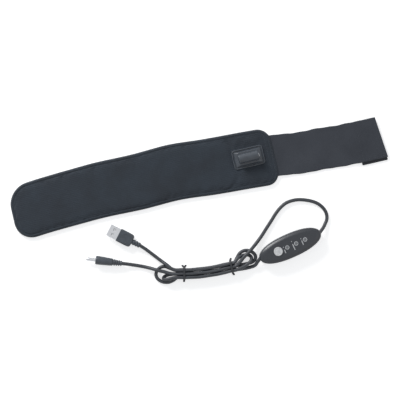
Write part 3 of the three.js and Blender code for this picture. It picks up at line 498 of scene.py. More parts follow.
# Brushed nylon knit: a dull short pile that catches light at low angles, over a fine rib.
# The ribs are drawn about 1.8 mm apart so that they show, and the dye varies in cloudy patches.
fabric_material, tree, shader = new_material(
    "pad cover brushed nylon knit", "#2A303B", 0.92, sheen_weight=0.25, sheen_roughness=0.5)
pile = noise_over(tree, 1400, 3, Roughness=0.7)
dye = tones(tree, noise_over(tree, 38, 5, Roughness=0.6), "#242A32", "#2F3842", (0.3, 0.72))
ribs = wave_over(tree, 175, "Y", Distortion=1.2, Detail=1, Detail_Scale=2)
knit_height = add_node(tree, "ShaderNodeMath", operation="ADD", links={0: ribs, 1: pile})
finish_with(tree, shader, flecked(tree, dye, pile, 0.75, 0.82, 1.2), knit_height.outputs[0], 0.35, 0.0003)
for cover, node_name, slot in ((pad_face, "face_cover", "face_fabric"),
                               (pad_back, "back_cover", "back_fabric")):
    cover.data.materials.append(fabric_material)
    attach(cover, BODY)
    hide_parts(node_name)


# Strap: elastic webbing, 41.6 mm wide, sewn in between the covers.
# It has fine ribs along it and a tight selvedge, and it has kept a slight wave from its tension.
STRAP_ROUTE = [(70, -2.2, 1.3), (80, -2.5, 1.3), (92, -4.3, 0.6), (104, -5.2, 0.35), (116, -5.9, 0.35),
               (140, -7.3, 0.3), (152, -7.6, 0.7), (161.9, -8.3, 1.9), (174.9, -8.3, 1.9), (186.9, -8.3, 1.9)]
STRAP_THICK = 1.6
STRAP_SKEW = 0.1
STRAP_RIB = 1.3
STRAP_END_Y = -8.3
STRAP_END_Z = 1.9

strap_line = spline(STRAP_ROUTE, 0.8)
strap_side = np.linspace(-1, 1, 97)
strap_points = []
for x, y, z in strap_line:
    waist = 0.35 * math.sin(x * 0.16) + 0.2 * math.sin(x * 0.41 + 1)
    waist *= min(1, max(0, (x - 80) / 12)) * min(1, max(0, (172 - x) / 10))
    for side in strap_side:
        offset = side * STRAP_HALF + waist * (1 if side > 0 else 0.8) * abs(side) ** 3
        skew = -offset * STRAP_SKEW * max(0, (x - 180) / 6.9)
        selvedge = math.sqrt(max(0.0, 1 - max(0.0, (abs(side) - 0.965) / 0.035) ** 2))
        ridge = 0.055 * math.cos(2 * math.pi * offset / STRAP_RIB) * (1 - 0.7 * (abs(side) > 0.9))
        ridge += 0.03 * math.cos(2 * math.pi * (x + (0.5 if int(offset // STRAP_RIB) % 2 else 0)) / 1.6)
        sway = 0.12 * math.sin(x * 0.09 + side * 2.2)
        sway = sway * min(1, max(0, (x - 84) / 10)) * min(1, max(0, (160 - x) / 10))
        half_thick = STRAP_THICK / 2 * (0.35 + 0.65 * selvedge)
        middle = z + STRAP_THICK / 2 + max(0.0, sway)
        strap_points.append((x + skew, y + offset, middle + half_thick + ridge * selvedge,
                             middle - half_thick - ridge * selvedge * 0.5))
strap_points = np.array(strap_points)
strap = between_sheets("strap_webbing", len(strap_line), len(strap_side), strap_points[:, :3],
                       strap_points[:, [0, 1, 3]])
strap.data.set_sharp_from_angle(angle=math.radians(50))
webbing_material, tree, shader = new_material(
    "strap elastic nylon webbing", "#383C45", 0.85, sheen_weight=0.2, sheen_roughness=0.45)
dye = tones(tree, noise_over(tree, 30, 4), "#33373F", "#3F434B", (0.3, 0.7))
threads = wave_over(tree, 250, "X", Distortion=0.6, Detail=2, Detail_Scale=3)
yarn = noise_over(tree, 1600, 2)
finish_with(tree, shader, flecked(tree, dye, yarn, 0.7, 0.86, 1.12), threads, 0.4, 0.00025)
strap.data.materials.append(webbing_material)
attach(strap, BODY)
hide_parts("strap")


# Hook patch: woven tape with rows of small hooks underneath, sewn under the strap's free end.
# It is a little wider than the strap and was set off to one side, so a lip of it shows.
PATCH_LONG, PATCH_WIDE = 24.0, 42.6
PATCH_END = (186.6, -10.65)
HOOK_ROWS, HOOK_COLUMNS = 25, 13


def skin(rings, hollow=False):
    """The points and faces between rings of points. The ends are closed, or meet on a hollow piece."""
    count = len(rings[0])
    points = [tuple(p) for ring in rings for p in ring]
    faces = []
    for i in range(len(rings) if hollow else len(rings) - 1):
        a, b = i * count, (i + 1) % len(rings) * count
        for k in range(count):
            n = (k + 1) % count
            faces.append((a + k, a + n, b + n, b + k))
    if not hollow:
        faces.append(tuple(reversed(range(count))))
        faces.append(tuple(range(len(points) - count, len(points))))
    return points, faces


def rounded_ring(length, width, corner, z, inset=0.0, steps=6):
    """A rounded rectangle in the plane, drawn in by an inset."""
    x, y, r = length / 2 - inset, width / 2 - inset, max(corner - inset, 0.05)
    ring = []
    for cx, cy, start in ((x - r, y - r, 0), (r - x, y - r, 90), (r - x, r - y, 180), (x - r, r - y, 270)):
        for i in range(steps + 1):
            a = math.radians(start + 90 * i / steps)
            ring.append((cx + r * math.cos(a), cy + r * math.sin(a), z))
    return ring


def build(name, parts, material, body=BODY, at=(0, 0, 0), sharp=38, finish=True):
    """One piece from closed parts, turned to its place. At gives x, y and the heading in degrees."""
    joined = bmesh.new()
    for points, faces in parts:
        one = bmesh.new()
        spots = [one.verts.new(p) for p in points]
        for face in faces:
            one.faces.new([spots[i] for i in face])
        bmesh.ops.recalc_face_normals(one, faces=one.faces[:])
        mesh = bpy.data.meshes.new("part")
        one.to_mesh(mesh)
        one.free()
        joined.from_mesh(mesh)
        bpy.data.meshes.remove(mesh)
    turn = Matrix.Translation((at[0] * MM, at[1] * MM, 0)) @ Matrix.Rotation(math.radians(at[2]), 4, "Z")
    bmesh.ops.transform(joined, matrix=turn @ Matrix.Scale(MM, 4), verts=joined.verts[:])
    mesh = bpy.data.meshes.new(name)
    joined.to_mesh(mesh)
    joined.free()
    mesh.shade_smooth()
    mesh.set_sharp_from_angle(angle=math.radians(sharp))
    made = add_object(name, mesh)
    if finish:
        mesh.materials.append(material)
        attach(made, body)
    return made


tape_rings = []
for z, inset in ((0.75, 0.25), (0.85, 0.05), (1.1, 0), (1.5, 0.05), (1.6, 0.25)):
    ring = rounded_ring(PATCH_LONG, PATCH_WIDE, 1.2, z, inset)
    tape_rings.append([(x + (-y * STRAP_SKEW if x > 0 else 0), y, z) for x, y, z in ring])
tape_material, tree, shader = new_material("hook tape woven nylon", "#292C32", 0.8, sheen_weight=0.15)
weave = add_node(tree, "ShaderNodeMath", operation="MULTIPLY",
                 links={0: wave_over(tree, 400, "X"), 1: wave_over(tree, 400, "Y")}).outputs[0]
finish_with(tree, shader, tones(tree, weave, "#24272C", "#363A41"), weave, 0.5)
tape = build("hook_tape", [skin(tape_rings)], tape_material,
             at=(PATCH_END[0] - PATCH_LONG / 2, PATCH_END[1], 0))
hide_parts("hook_patch")


def one_hook():
    """A small bent hook that hangs below the tape, as a thin tube of three sides."""
    line = [(0, 0, 0.78), (0, 0, 0.35), (0.12, 0, 0.12), (0.34, 0, 0.08), (0.48, 0, 0.26)]
    rings = []
    for i, (x, y, z) in enumerate(line):
        r = 0.11 if i < 4 else 0.05
        rings.append([(x + r * math.cos(a) * (i != 2), y + r * math.sin(a),
                       z + r * math.cos(a) * (i >= 2) * 0.6)
                      for a in (0, 2 * math.pi / 3, 4 * math.pi / 3)])
    return skin(rings)


hook_seed = build("hook_seed", [one_hook()], None, finish=False)
hook_field = bpy.data.meshes.new("hooks")
hook_field.from_pydata([(0, 0, 0)], [], [])
hooks = add_object("hook_rows", hook_field)


def new_rows(title, inputs):
    """A geometry node tree, and the node that gives its inputs."""
    made = bpy.data.node_groups.new(title, "GeometryNodeTree")
    for name, kind in inputs:
        made.interface.new_socket(name, in_out="INPUT", socket_type="NodeSocket" + kind)
    made.interface.new_socket("Geometry", in_out="OUTPUT", socket_type="NodeSocketGeometry")
    return made, add_node(made, "NodeGroupInput")


def end_rows(tree, given, copies):
    """Makes the copies real, gives them their material and sends them out."""
    real = add_node(tree, "GeometryNodeRealizeInstances", links={"Geometry": copies.outputs["Instances"]})
    dressed = add_node(tree, "GeometryNodeSetMaterial", links={
        "Geometry": real.outputs["Geometry"], "Material": given.outputs["Finish"]})
    add_node(tree, "NodeGroupOutput", links={"Geometry": dressed.outputs["Geometry"]})


rows_tree, given = new_rows("rows of hooks", (
    ("Length", "Float"), ("Width", "Float"), ("Rows", "Int"), ("Columns", "Int"), ("Hook", "Object"),
    ("Finish", "Material")))
field = add_node(rows_tree, "GeometryNodeMeshGrid", links={
    "Size X": given.outputs["Length"], "Size Y": given.outputs["Width"],
    "Vertices X": given.outputs["Columns"], "Vertices Y": given.outputs["Rows"]})
shape = add_node(rows_tree, "GeometryNodeObjectInfo", links={"Object": given.outputs["Hook"]})
lean = add_node(rows_tree, "FunctionNodeRandomValue", data_type="FLOAT_VECTOR",
                values={"Min": (-0.1, -0.1, -0.35), "Max": (0.1, 0.1, 0.35), "Seed": 7})
spread = add_node(rows_tree, "GeometryNodeInstanceOnPoints", links={
    "Points": field.outputs["Mesh"], "Instance": shape.outputs["Geometry"],
    "Rotation": lean.outputs["Value"]})
end_rows(rows_tree, given, spread)


def settle(piece):
    """Turns what the modifiers make into the piece's own mesh."""
    bpy.context.view_layer.update()
    graph = bpy.context.evaluated_depsgraph_get()
    mesh = bpy.data.meshes.new_from_object(piece.evaluated_get(graph))
    piece.modifiers.clear()
    piece.data = mesh


def grow(piece, group, **inputs):
    """Runs a node tree on a piece, and keeps the result as its plain mesh."""
    growth = piece.modifiers.new("growth", "NODES")
    growth.node_group = group
    for item in group.interface.items_tree:
        if item.in_out == "INPUT" and item.name in inputs:
            growth[item.identifier] = inputs[item.name]
    settle(piece)


grow(hooks, rows_tree, Length=(PATCH_LONG - 5) * MM, Width=(PATCH_WIDE - 4) * MM, Rows=HOOK_ROWS,
     Columns=HOOK_COLUMNS,
     Hook=hook_seed, Finish=tape_material)
hooks.data.transform(Matrix.Translation(((PATCH_END[0] - PATCH_LONG / 2) * MM, PATCH_END[1] * MM, 0)))
bpy.data.objects.remove(hook_seed)
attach(hooks, BODY)


# Stitching: bonded nylon thread in lock stitch, dark as the cloth.
# One row and a second close to it hold the strap in the pad's hem, and a frame of it holds the hook patch.
STITCH_LONG, STITCH_GAP, THREAD = 2.2, 0.7, 0.38
HEM_HALF = 20.5

stitch_tree, given = new_rows("stitches along a line", (
    ("Line", "Geometry"), ("Pitch", "Float"), ("Stitch", "Float"), ("Thread", "Float"),
    ("Finish", "Material")))
seam = add_node(stitch_tree, "GeometryNodeMeshToCurve", links={"Mesh": given.outputs["Line"]})
spots = add_node(stitch_tree, "GeometryNodeCurveToPoints", mode="LENGTH", links={
    "Curve": seam.outputs["Curve"], "Length": given.outputs["Pitch"]})
bead = add_node(stitch_tree, "GeometryNodeMeshUVSphere", values={"Segments": 8, "Rings": 6}, links={
    "Radius": given.outputs["Thread"]})
long_share = add_node(stitch_tree, "ShaderNodeMath", operation="DIVIDE", links={
    0: given.outputs["Stitch"], 1: given.outputs["Thread"]})
half_share = add_node(stitch_tree, "ShaderNodeMath", operation="MULTIPLY", links={0: long_share.outputs[0]},
                      values={1: 0.5})
stretch = add_node(stitch_tree, "ShaderNodeCombineXYZ", values={"X": 1.0, "Y": 1.0},
                   links={"Z": half_share.outputs[0]})
sewn = add_node(stitch_tree, "GeometryNodeInstanceOnPoints", links={
    "Points": spots.outputs["Points"], "Instance": bead.outputs["Mesh"],
    "Rotation": spots.outputs["Rotation"],
    "Scale": stretch.outputs["Vector"]})
end_rows(stitch_tree, given, sewn)

thread_material, tree, shader = new_material("bonded nylon thread", "#2E3239", 0.6, sheen_weight=0.1)
finish_with(tree, shader, tones(tree, noise_over(tree, 2600, 1), "#22252B", "#41464F"))


def stitches(name, line):
    """A row of stitches along a line of points."""
    mesh = bpy.data.meshes.new(name)
    mesh.from_pydata([(x * MM, y * MM, z * MM) for x, y, z in line],
                     [(i, i + 1) for i in range(len(line) - 1)], [])
    made = add_object(name, mesh)
    grow(made, stitch_tree, Pitch=(STITCH_LONG + STITCH_GAP) * MM, Stitch=STITCH_LONG * MM,
         Thread=THREAD / 2 * MM,
         Finish=thread_material)
    made.data.shade_smooth()
    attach(made, BODY)
    return made


def pad_surface(x, y):
    """The height of the outer cover at a point."""
    i = int(np.argmin(np.abs(pad_xs - x)))
    j = int(np.argmin(np.abs(grid_y[i] - y)))
    return pad_face.data.vertices[i * len(across) + j].co.z / MM


for number, inward in enumerate((1.9, 6.2)):
    hem_x = PAD_END - inward
    hem_y = np.linspace(PAD_END_Y - HEM_HALF, PAD_END_Y + HEM_HALF, 60)
    line = [(hem_x, y, pad_surface(hem_x, y) + 0.02) for y in hem_y]
    stitches(f"hem_stitches_{number + 1}", line)
frame_x = (PATCH_END[0] - PATCH_LONG + 2, PATCH_END[0] - 1.8)
frame_y = (STRAP_END_Y - STRAP_HALF + 2, STRAP_END_Y + STRAP_HALF - 2)
frame_z = STRAP_END_Z + STRAP_THICK + 0.04
corners = [(frame_x[0], frame_y[0]), (frame_x[1] + 1.2, frame_y[0]), (frame_x[1] - 2.0, frame_y[1]),
           (frame_x[0], frame_y[1]), (frame_x[0], frame_y[0])]
frame_line = []
for (xa, ya), (xb, yb) in zip(corners, corners[1:]):
    frame_line += [(xa + (xb - xa) * t, ya + (yb - ya) * t, frame_z) for t in np.linspace(0, 1, 24,
                                                                                          endpoint=False)]
stitches("patch_stitches", frame_line)


# Power socket: soft black PVC, moulded in one with its flange and bonded to the outer cover.
# A rim and a groove run round the flange. A sloping step carries the barrel, open toward the strap.
BARREL_LONG = 20.5
AXIS = PAD_TOP + 5.7
BORE = 2.4


def round_ring(x, radius, y=0.0, z=0.0, sides=48):
    """A ring round an axis along X."""
    return [(x, y + radius * math.cos(2 * math.pi * k / sides),
             z + radius * math.sin(2 * math.pi * k / sides))
            for k in range(sides)]


def cut_holes(piece, cutters, at, sharp):
    """Cuts closed parts out of a piece, and keeps its sharp edges."""
    tools = []
    for number, cutter in enumerate(cutters):
        tool = build(f"{piece.name}_cutter_{number}", [cutter], None, finish=False, at=at)
        cut = piece.modifiers.new("cut", "BOOLEAN")
        cut.object = tool
        cut.operation = "DIFFERENCE"
        cut.solver = "EXACT"
        tools.append(tool)
    settle(piece)
    for tool in tools:
        bpy.data.objects.remove(tool)
    piece.data.shade_smooth()
    piece.data.set_sharp_from_angle(angle=math.radians(sharp))


def moulded(name, parts, grain, rounds, cutters, at=(0, 0, 0), sharp=55):
    """Runs closed parts together as one moulding with filleted corners, and then cuts its holes."""
    made = build(name, parts, None, finish=False, at=at)
    fuse = made.modifiers.new("fuse", "REMESH")
    fuse.mode = "VOXEL"
    fuse.voxel_size = grain * MM
    soften = made.modifiers.new("soften", "SMOOTH")
    soften.iterations = rounds
    cut_holes(made, cutters, at, sharp)
    return made


def shifted(part, x=0.0, y=0.0, z=0.0):
    points, faces = part
    return [(a + x, b + y, c + z) for a, b, c in points], faces


barrel_profile = [(-10.25, 2.0), (-10.25, 3.7), (-9.9, 4.3), (-9.3, 4.7), (9.3, 4.7), (9.9, 4.3),
                  (10.25, 3.7),
                  (10.25, 2.0)]
socket_parts = [
    skin([rounded_ring(*FLANGE, 3, 4.62, 0.1), rounded_ring(*FLANGE, 3, 5.35, 0),
          rounded_ring(*FLANGE, 3, 5.75, 0.35),
          rounded_ring(*FLANGE, 3, 5.75, 1.1), rounded_ring(*FLANGE, 3, 4.9, 1.3),
          rounded_ring(*FLANGE, 3, 4.9, 2.2),
          rounded_ring(*FLANGE, 2.8, 5.9, 2.4), rounded_ring(FLANGE[0] - 11, FLANGE[1] - 7, 2.2, 7.2, 0),
          rounded_ring(FLANGE[0] - 13, FLANGE[1] - 8, 2, 7.2, 0)]),
    skin([round_ring(x, r, 0, AXIS) for x, r in barrel_profile]),
    skin([rounded_ring(19.4, 8.9, 0.6, 5.5), rounded_ring(19.4, 8.9, 0.6, AXIS)]),
]
socket = moulded("socket_moulding", [shifted(p, *SOCKET) for p in socket_parts], 0.2, 2,
                 [shifted(skin([round_ring(-3.05, BORE, 0, AXIS), round_ring(12, BORE, 0, AXIS)]), *SOCKET)])

# Soft PVC, injection moulded in a blasted tool: satin, a shade lighter than the cloth, with a fine grain.
soft_material, tree, shader = new_material("moulded soft pvc", "#424851", 0.3, ior=1.52)
finish_with(tree, shader, tones(tree, noise_over(tree, 220, 4), "#3B4149", "#484F58", (0.3, 0.7)),
            noise_over(tree, 2400, 2), 0.15, 0.0001)
socket.data.materials.append(soft_material)
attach(socket, BODY)
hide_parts("socket_housing")

# Nickel plate on brass, turned or rolled: bright, with fine rings from the tool.
nickel_material, tree, shader = new_material("bright nickel plate", "#C4C6CA", 0.22, metallic=1.0)
rubs = noise_over(tree, 900, 4)
rub_rough = add_node(tree, "ShaderNodeMapRange", links={"Value": rubs},
                     values={"From Min": 0.3, "From Max": 0.7, "To Min": 0.16, "To Max": 0.34})
rub_bump = add_node(tree, "ShaderNodeBump", links={"Height": rubs},
                    values={"Strength": 0.08, "Distance": 0.0001})
tree.links.new(rub_rough.outputs["Result"], shader.inputs["Roughness"])
tree.links.new(rub_bump.outputs["Normal"], shader.inputs["Normal"])


def turned(profile, y=0.0, z=0.0, sides=48, hollow=False):
    """A part turned about an axis along X, from (x, radius) points."""
    return skin([round_ring(x, max(r, 0.01), y, z, sides) for x, r in profile], hollow)


mouth = SOCKET[0] + BARREL_LONG / 2
sleeve = build("socket_contact_sleeve", [turned(
    [(mouth - 10.3, 1.86), (mouth - 10.3, 2.25), (mouth + 0.2, 2.25), (mouth + 0.38, 2.14),
     (mouth + 0.38, 1.95),
     (mouth + 0.2, 1.86)], SOCKET[1], AXIS, hollow=True)], nickel_material)
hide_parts("socket_sleeve")
centre_pin = build("socket_centre_pin", [turned(
    [(mouth - 13.6, 0.65), (mouth - 2.3, 0.65), (mouth - 1.8, 0.5), (mouth - 1.55, 0.25)], SOCKET[1], AXIS,
    sides=24)], nickel_material)
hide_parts("socket_pin")


# USB plug: a steel shell rolled from sheet, in a soft PVC handle with a shallow thumb dish and a ribbed relief.
USB_AT = (-71.9, -59.5, 139.9)
USB_AXIS = 3.8


def body_section(x, half_width, half_height, corner, steps=6):
    """A rounded section across an axis along X, at the plug's height."""
    return [(x, a, USB_AXIS + b) for a, b, _ in rounded_ring(2 * half_width, 2 * half_height, corner, 0, 0,
                                                             steps)]


handle = [(8.4, 4.2, 2.3, 1.8), (8.7, 5.3, 3.0, 2.2), (9.6, 6.2, 3.5, 2.4), (11.2, 6.65, 3.75, 2.2),
          (15, 6.7, 3.8, 1.9), (21.5, 6.7, 3.8, 1.7), (23.2, 6.65, 3.75, 1.6), (23.6, 6.4, 3.5, 1.5)]
usb_parts = [skin([body_section(*level) for level in handle])]


def ribs_along(count, pitch, radius, growth, form):
    """Grip ribs along a handle. The form gives each point of a rib as its place and its drop."""
    return [(pitch * rib + x, radius + growth * (rib + 1) - drop) for rib in range(count) for x, drop in form]


relief = [(0, 2.3), (0.15, 2.5), *ribs_along(3, 2.8, 2.55, 0.12, [
    (0.25, 0), (1.6, 0), (1.85, 0.15), (2.0, 0.55), (2.55, 0.55), (2.75, 0.1)]), (9.5, 2.7)]
usb_parts.append(turned(relief, 0, USB_AXIS, 40))
dish = []
for radius, z in ((0.3, 7.12), (1.8, 7.18), (3.2, 7.36), (4.1, 7.58), (4.6, 7.9), (4.6, 9)):
    dish.append([(16 + radius * math.cos(a), radius * math.sin(a) * 1.05, z)
                 for a in np.linspace(0, 2 * math.pi, 40, endpoint=False)])
usb_pocket = skin([[(x, a, USB_AXIS + b) for a, b, _ in rounded_ring(12.2, 4.7, 0.7, 0, 0,
                                                                     3)] for x in (19, 25)])
usb_handle = moulded("usb_plug_handle", usb_parts, 0.2, 1, [skin(dish), usb_pocket], at=USB_AT, sharp=40)
usb_handle.data.materials.append(soft_material)
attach(usb_handle, BODY)
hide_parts("usb_overmould")


# Round plug: a nickel barrel in a tapered PVC handle, with grip ribs toward the cord.
ROUND_AT = (-93.2, -72.9, 159.5)
ROUND_AXIS = 4.45
grip = [(0, 2.2), (0.15, 2.4), *ribs_along(4, 2.25, 2.45, 0.19, [
    (0.25, 0), (1.25, 0), (1.45, 0.15), (1.55, 0.6), (2.0, 0.6), (2.2, 0.1)])]
grip += [(9.0, 3.0), (9.15, 3.35), (9.7, 3.6), (14, 3.9), (20, 4.22), (25.2, 4.4), (25.8, 4.3), (26.1, 4.05),
         (26.2, 3.8), (26.2, 1.9), (21.3, 1.9)]
round_handle = build("round_plug_handle", [turned(grip, 0, ROUND_AXIS, 56)], soft_material,
                     at=ROUND_AT, sharp=50)
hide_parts("dc_overmould")
tip = 26.2 + 9.5
barrel = build("round_plug_barrel", [turned(
    [(21.4, 1.45), (21.4, 1.75), (tip - 3.35, 1.75), (tip - 3.25, 1.58), (tip - 2.65, 1.58),
     (tip - 2.55, 1.75),
     (tip - 0.2, 1.75), (tip, 1.6), (tip, 1.5), (tip - 0.12, 1.45)], 0, ROUND_AXIS, 40, True)],
    nickel_material, at=ROUND_AT)
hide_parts("dc_barrel")


# Controller: an oval ABS case in two shells round a small board.
# The upper shell has a flat top with a broad sloped edge, a push button and three indicator windows.
CASE_AT = (73.6, -93.2, 11.2)
CASE_LONG, CASE_WIDE, CASE_HIGH = 65.4, 23.6, 12.4
PARTING = 5.4
BUTTON_X = -13.3
BUTTON_HOLE, WINDOW_HOLE, CORD_HOLE = 4.68, 1.45, 2.05
WINDOWS = (-3.6, 6.0, 15.6)


def oval(z, inset, left=0.0, count=120):
    """The case's oval, drawn in by an inset, and by more at its left end."""
    ring = []
    for k in range(count):
        c, s = math.cos(2 * math.pi * k / count), math.sin(2 * math.pi * k / count)
        x = math.copysign(abs(c) ** (2 / 2.25), c) * (CASE_LONG / 2 - inset)
        y = math.copysign(abs(s) ** (2 / 2.25), s) * (CASE_WIDE / 2 - inset)
        ring.append((x + (left * (abs(x) / (CASE_LONG / 2)) ** 2 if x < 0 else 0), y, z))
    return ring


def disc_rings(x, levels, sides=64):
    """Rings about an upright axis at x, from (radius, z) points."""
    return [[(x + max(r, 0.01) * math.cos(a), max(r, 0.01) * math.sin(a), z)
             for a in np.linspace(0, 2 * math.pi, sides, endpoint=False)] for r, z in levels]


upper = [oval(PARTING + 0.15, 1.6), oval(PARTING + 0.15, 0.12), oval(PARTING + 0.3, 0), oval(9.2, 0),
         oval(10.0, 0.12), oval(10.6, 0.45), oval(11.1, 1.0), oval(12.1, 2.9, 1.6), oval(12.33, 3.5, 2.2),
         oval(CASE_HIGH, 4.2, 2.8), oval(CASE_HIGH, 8, 2.8)]
case_top = build("case_upper_shell", [skin(upper)], None, finish=False, at=CASE_AT, sharp=30)
cord_holes = turned([(-40, CORD_HOLE), (40, CORD_HOLE)], 0, PARTING)
cutters = [skin([oval(3, 1.6), oval(10.8, 1.6)]),
           skin(disc_rings(BUTTON_X, [(BUTTON_HOLE, 9), (BUTTON_HOLE, 14)])), cord_holes]
for x in WINDOWS:
    cutters.append(skin(disc_rings(x, [(WINDOW_HOLE, 9), (WINDOW_HOLE, 14)], 40)))
cut_holes(case_top, cutters, CASE_AT, 30)
lower = [oval(0, 4.2), oval(0.02, 2.2), oval(0.25, 1.3), oval(0.8, 0.6), oval(1.6, 0.12), oval(2.4, 0),
         oval(PARTING - 0.2, 0), oval(PARTING, 0.15), oval(PARTING, 1.6), oval(2.0, 1.6), oval(1.7, 2.2),
         oval(1.7, 6)]
case_bottom = build("case_lower_shell", [skin(lower)], None, finish=False, at=CASE_AT, sharp=30)
cut_holes(case_bottom, [cord_holes], CASE_AT, 30)

# ABS, injection moulded in a spark-eroded tool: a satin grain that breaks up the highlights.
case_material, tree, shader = new_material("case abs spark grain", "#292D35", 0.3, ior=1.53)
place = add_node(tree, "ShaderNodeTexCoord")
pits = add_node(tree, "ShaderNodeTexVoronoi", links={"Vector": place.outputs["Object"]},
                values={"Scale": 2200}).outputs["Distance"]
finish_with(tree, shader, tones(tree, pits, "#22252C", "#32373F"), pits, 0.2, 0.00012)
for shell, node_name in ((case_top, "controller_case_top"), (case_bottom, "controller_case_bottom")):
    shell.data.materials.append(case_material)
    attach(shell, BODY)
    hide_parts(node_name)

# Push button: white ABS, with a shallow crosshatch on its face for grip.
button_material, tree, shader = new_material("button white abs", "#E6E7E8", 0.4, ior=1.53)
finish_with(tree, shader, tones(tree, noise_over(tree, 700, 3), "#DADCDE", "#EDEEEF", (0.3, 0.65)))
cap_levels = [(0, 9.85), (5.3, 9.85), (5.3, 10.65), (4.4, 10.65), (4.4, 12.85), (4.33, 13.08), (4.15, 13.22),
              (3.9, 13.28), (3.6, 13.3), (3.4, 13.08), (0, 13.08)]
cap_parts = [skin(disc_rings(BUTTON_X, cap_levels))]
pad_step = 1.05
for i in range(-3, 4):
    for j in range(-3, 4):
        x, y = i * pad_step, j * pad_step
        if math.hypot(x, y) < 3.0:
            cap_parts.append(skin([
                [(BUTTON_X + x + a, y + b, z) for a, b, _ in rounded_ring(s, s, 0.12, 0, 0, 2)]
                for z, s in ((13.05, 0.7), (13.24, 0.66), (13.3, 0.5))]))
button = build("push_button", cap_parts, button_material, body="button", at=CASE_AT)
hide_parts("button_cap")

# Indicator windows: clear polycarbonate rods over the lamps, each in a printed white ring.
window_material, tree, shader = new_material(
    "window polycarbonate", "#8F9398", 0.2, ior=1.58, transmission_weight=0.35)
finish_with(tree, shader, tones(tree, noise_over(tree, 900, 2), "#6C7076", "#A9ADB2"))
print_material, tree, shader = new_material("printed white ink", "#D5D7DA", 0.5)
finish_with(tree, shader, tones(tree, noise_over(tree, 2500, 2), "#B9BCC0", "#E4E5E7"))
# Plain marks lie to the left of each ring: a dot, and a bar whose middle and length are given.
MARK_LEFT = -3.5
MARK_DOTS = (1.7, 3.6, 2.4)
MARK_BARS = ((-2.7, 3.8), (-2.2, 6.4), (-1.75, 4.8))
print_parts = []
for number, x in enumerate(WINDOWS):
    window = build(f"window_{number + 1}", [skin(disc_rings(
        x, [(0, 10.05), (2.0, 10.05), (2.0, 10.65), (1.3, 10.65), (1.3, 12.3), (1.15, 12.38), (0, 12.4)],
        40))],
        window_material, at=CASE_AT)
    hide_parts(f"indicator_window_{number + 1}")
    print_parts.append(skin(disc_rings(x, [(1.5, 12.38), (2.05, 12.38), (2.05, 12.43), (1.5, 12.43)], 48),
                            True))
    for middle, long in ((MARK_DOTS[number], 0.9), MARK_BARS[number]):
        print_parts.append(skin([
            [(x + MARK_LEFT + a, middle + b, z) for a, b, _ in rounded_ring(0.8, long, 0.35, 0, 0, 4)]
            for z in (12.38, 12.43)]))
build("printed_marks", print_parts, print_material, at=CASE_AT)


# Twist ties: flat black plastic ribbon with a steel core, wound once round the bundle and twisted to close.
TIE_WIDE, TIE_THICK = 2.0, 0.55
TIE_STRAND, TIE_TURNS, TIE_STEPS = 0.62, 2.2, 24
tie_material, tree, shader = new_material("twist tie black pvc", "#26282D", 0.35, ior=1.5)
creases = noise_over(tree, 1100, 3)
finish_with(tree, shader, tones(tree, creases, "#1D1F23", "#34373D"), creases, 0.25)


def tie(name, x, tails, node_name):
    """A band round the bundle at x, with twisted tails that stand out on the sides given."""
    slope = float(height_on(HANK_LINE, x + 1) - height_on(HANK_LINE, x - 1)) / 2
    centre_z = (ROW_LOW + ROW_HIGH) / 2
    outer = rounded_ring(3 * RUN_PITCH + 0.9, 2 * RUN_PITCH + 0.7, 2.3, 0, 0, 6)
    rings = []
    for u, v in ((-1, 0.1), (-0.85, 0.5), (0.85, 0.5), (1, 0.1), (0.85, -0.3), (-0.85, -0.3)):
        rings.append([(u * TIE_WIDE / 2, a * (1 + v * TIE_THICK / 6.2),
                       centre_z + b * (1 + v * TIE_THICK / 4.2))
                      for a, b, _ in outer])
    parts = [skin(rings, True)]
    for side, lean, length in tails:
        for strand in (0, math.pi):
            line = []
            for i in range(TIE_STEPS + 1):
                t = i / TIE_STEPS
                along = t * length
                angle = strand + TIE_TURNS * 2 * math.pi * t
                spread = 0.6 * (1 - 0.2 * t)
                line.append((spread * math.cos(angle) + math.sin(math.radians(lean)) * along,
                             side * (3 * RUN_PITCH / 2 + 0.3 + math.cos(math.radians(lean)) * along),
                             centre_z + 1.2 - 0.5 * t + spread * math.sin(angle)))
            line_rings = []
            for i, p in enumerate(line):
                q = Vector(line[min(i + 1, TIE_STEPS)]) - Vector(line[max(i - 1, 0)])
                q.normalize()
                first = q.cross(Vector((0, 0, 1))).normalized()
                second = q.cross(first)
                line_rings.append([tuple(Vector(p) + first * TIE_STRAND * math.cos(a) + second
                                         * TIE_STRAND * math.sin(a))
                                   for a in np.linspace(0, 2 * math.pi, 8, endpoint=False)])
            parts.append(skin(line_rings))
    made = build(name, parts, tie_material,
                 at=(x, float(height_on(HANK_LINE, x)), math.degrees(math.atan(slope))))
    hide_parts(node_name)
    return made


tie_left = tie("tie_left", -35, [(1, -40, 3.0), (1, 35, 2.8), (-1, -10, 1.8)], "twist_tie_left")
tie_right = tie("tie_right", 12.2, [(1, 25, 2.8), (-1, 20, 2.2)], "twist_tie_right")


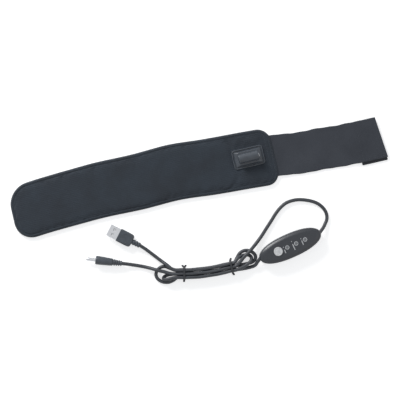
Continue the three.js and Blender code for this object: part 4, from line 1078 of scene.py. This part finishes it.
# Pieces inside, which keep their CAD shape.
# Each has the finish of the real thing: glass cloth, carbon ribbon, foam, green board, wires, contacts.
def plain_finish(name, low, high, roughness, scale, bump, **values):
    """A finish whose colour and surface vary at one scale, in cells per metre."""
    made, tree, shader = new_material(name, low, roughness, **values)
    speckle = noise_over(tree, scale, 3)
    finish_with(tree, shader, tones(tree, speckle, low, high, (0.3, 0.7)), speckle, bump)
    return made


inner_finishes = [
    (plain_finish("carrier glass cloth", "#CFCABC", "#E2DED2", 0.9, 1500, 0.4), ["element_carrier"]),
    (plain_finish("carbon fibre ribbon", "#17181B", "#26282C", 0.5, 2500, 0.4, metallic=0.2),
     ["heating_ribbon"]),
    (plain_finish("insulation foam", "#8D8F92", "#A6A8AA", 1.0, 1200, 0.8), ["insulation_foam"]),
    (nickel_material, ["usb_shell"]),
    (plain_finish("white nylon insulator", "#D9DADB", "#ECEDEE", 0.45, 1500, 0.1),
     ["usb_tongue", "socket_insulator", "temperature_limiter"]),
    (plain_finish("gold flash on bronze", "#B8934C", "#D0AC62", 0.3, 1800, 0.1, metallic=1.0),
     ["usb_contact_1", "usb_contact_2", "usb_contact_3", "usb_contact_4", "dc_contact"]),
    (plain_finish("black nylon insulator", "#202226", "#2C2F34", 0.5, 1500, 0.15), ["dc_insulator"]),
    (plain_finish("red silicone wire", "#8F2521", "#A8312B", 0.5, 1800, 0.1), ["socket_wire_positive"]),
    (plain_finish("black silicone wire", "#1F2023", "#2B2D31", 0.5, 1800, 0.1), ["socket_wire_negative"]),
    (plain_finish("board green solder mask", "#285A3B", "#357A4F", 0.35, 900, 0.1), ["circuit_board"]),
    (plain_finish("component black epoxy", "#1E2023", "#2A2C30", 0.55, 1500, 0.15),
     ["switch_body", "switch_plunger", "control_chip", "power_transistor"]),
    (plain_finish("lamp lens resin", "#C9CED0", "#E6EAEC", 0.25, 900, 0.05),
     ["indicator_led_1", "indicator_led_2", "indicator_led_3"]),
]
for finish, names in inner_finishes:
    for node_name in names:
        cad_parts[node_name].data.materials.clear()
        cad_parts[node_name].data.materials.append(finish)
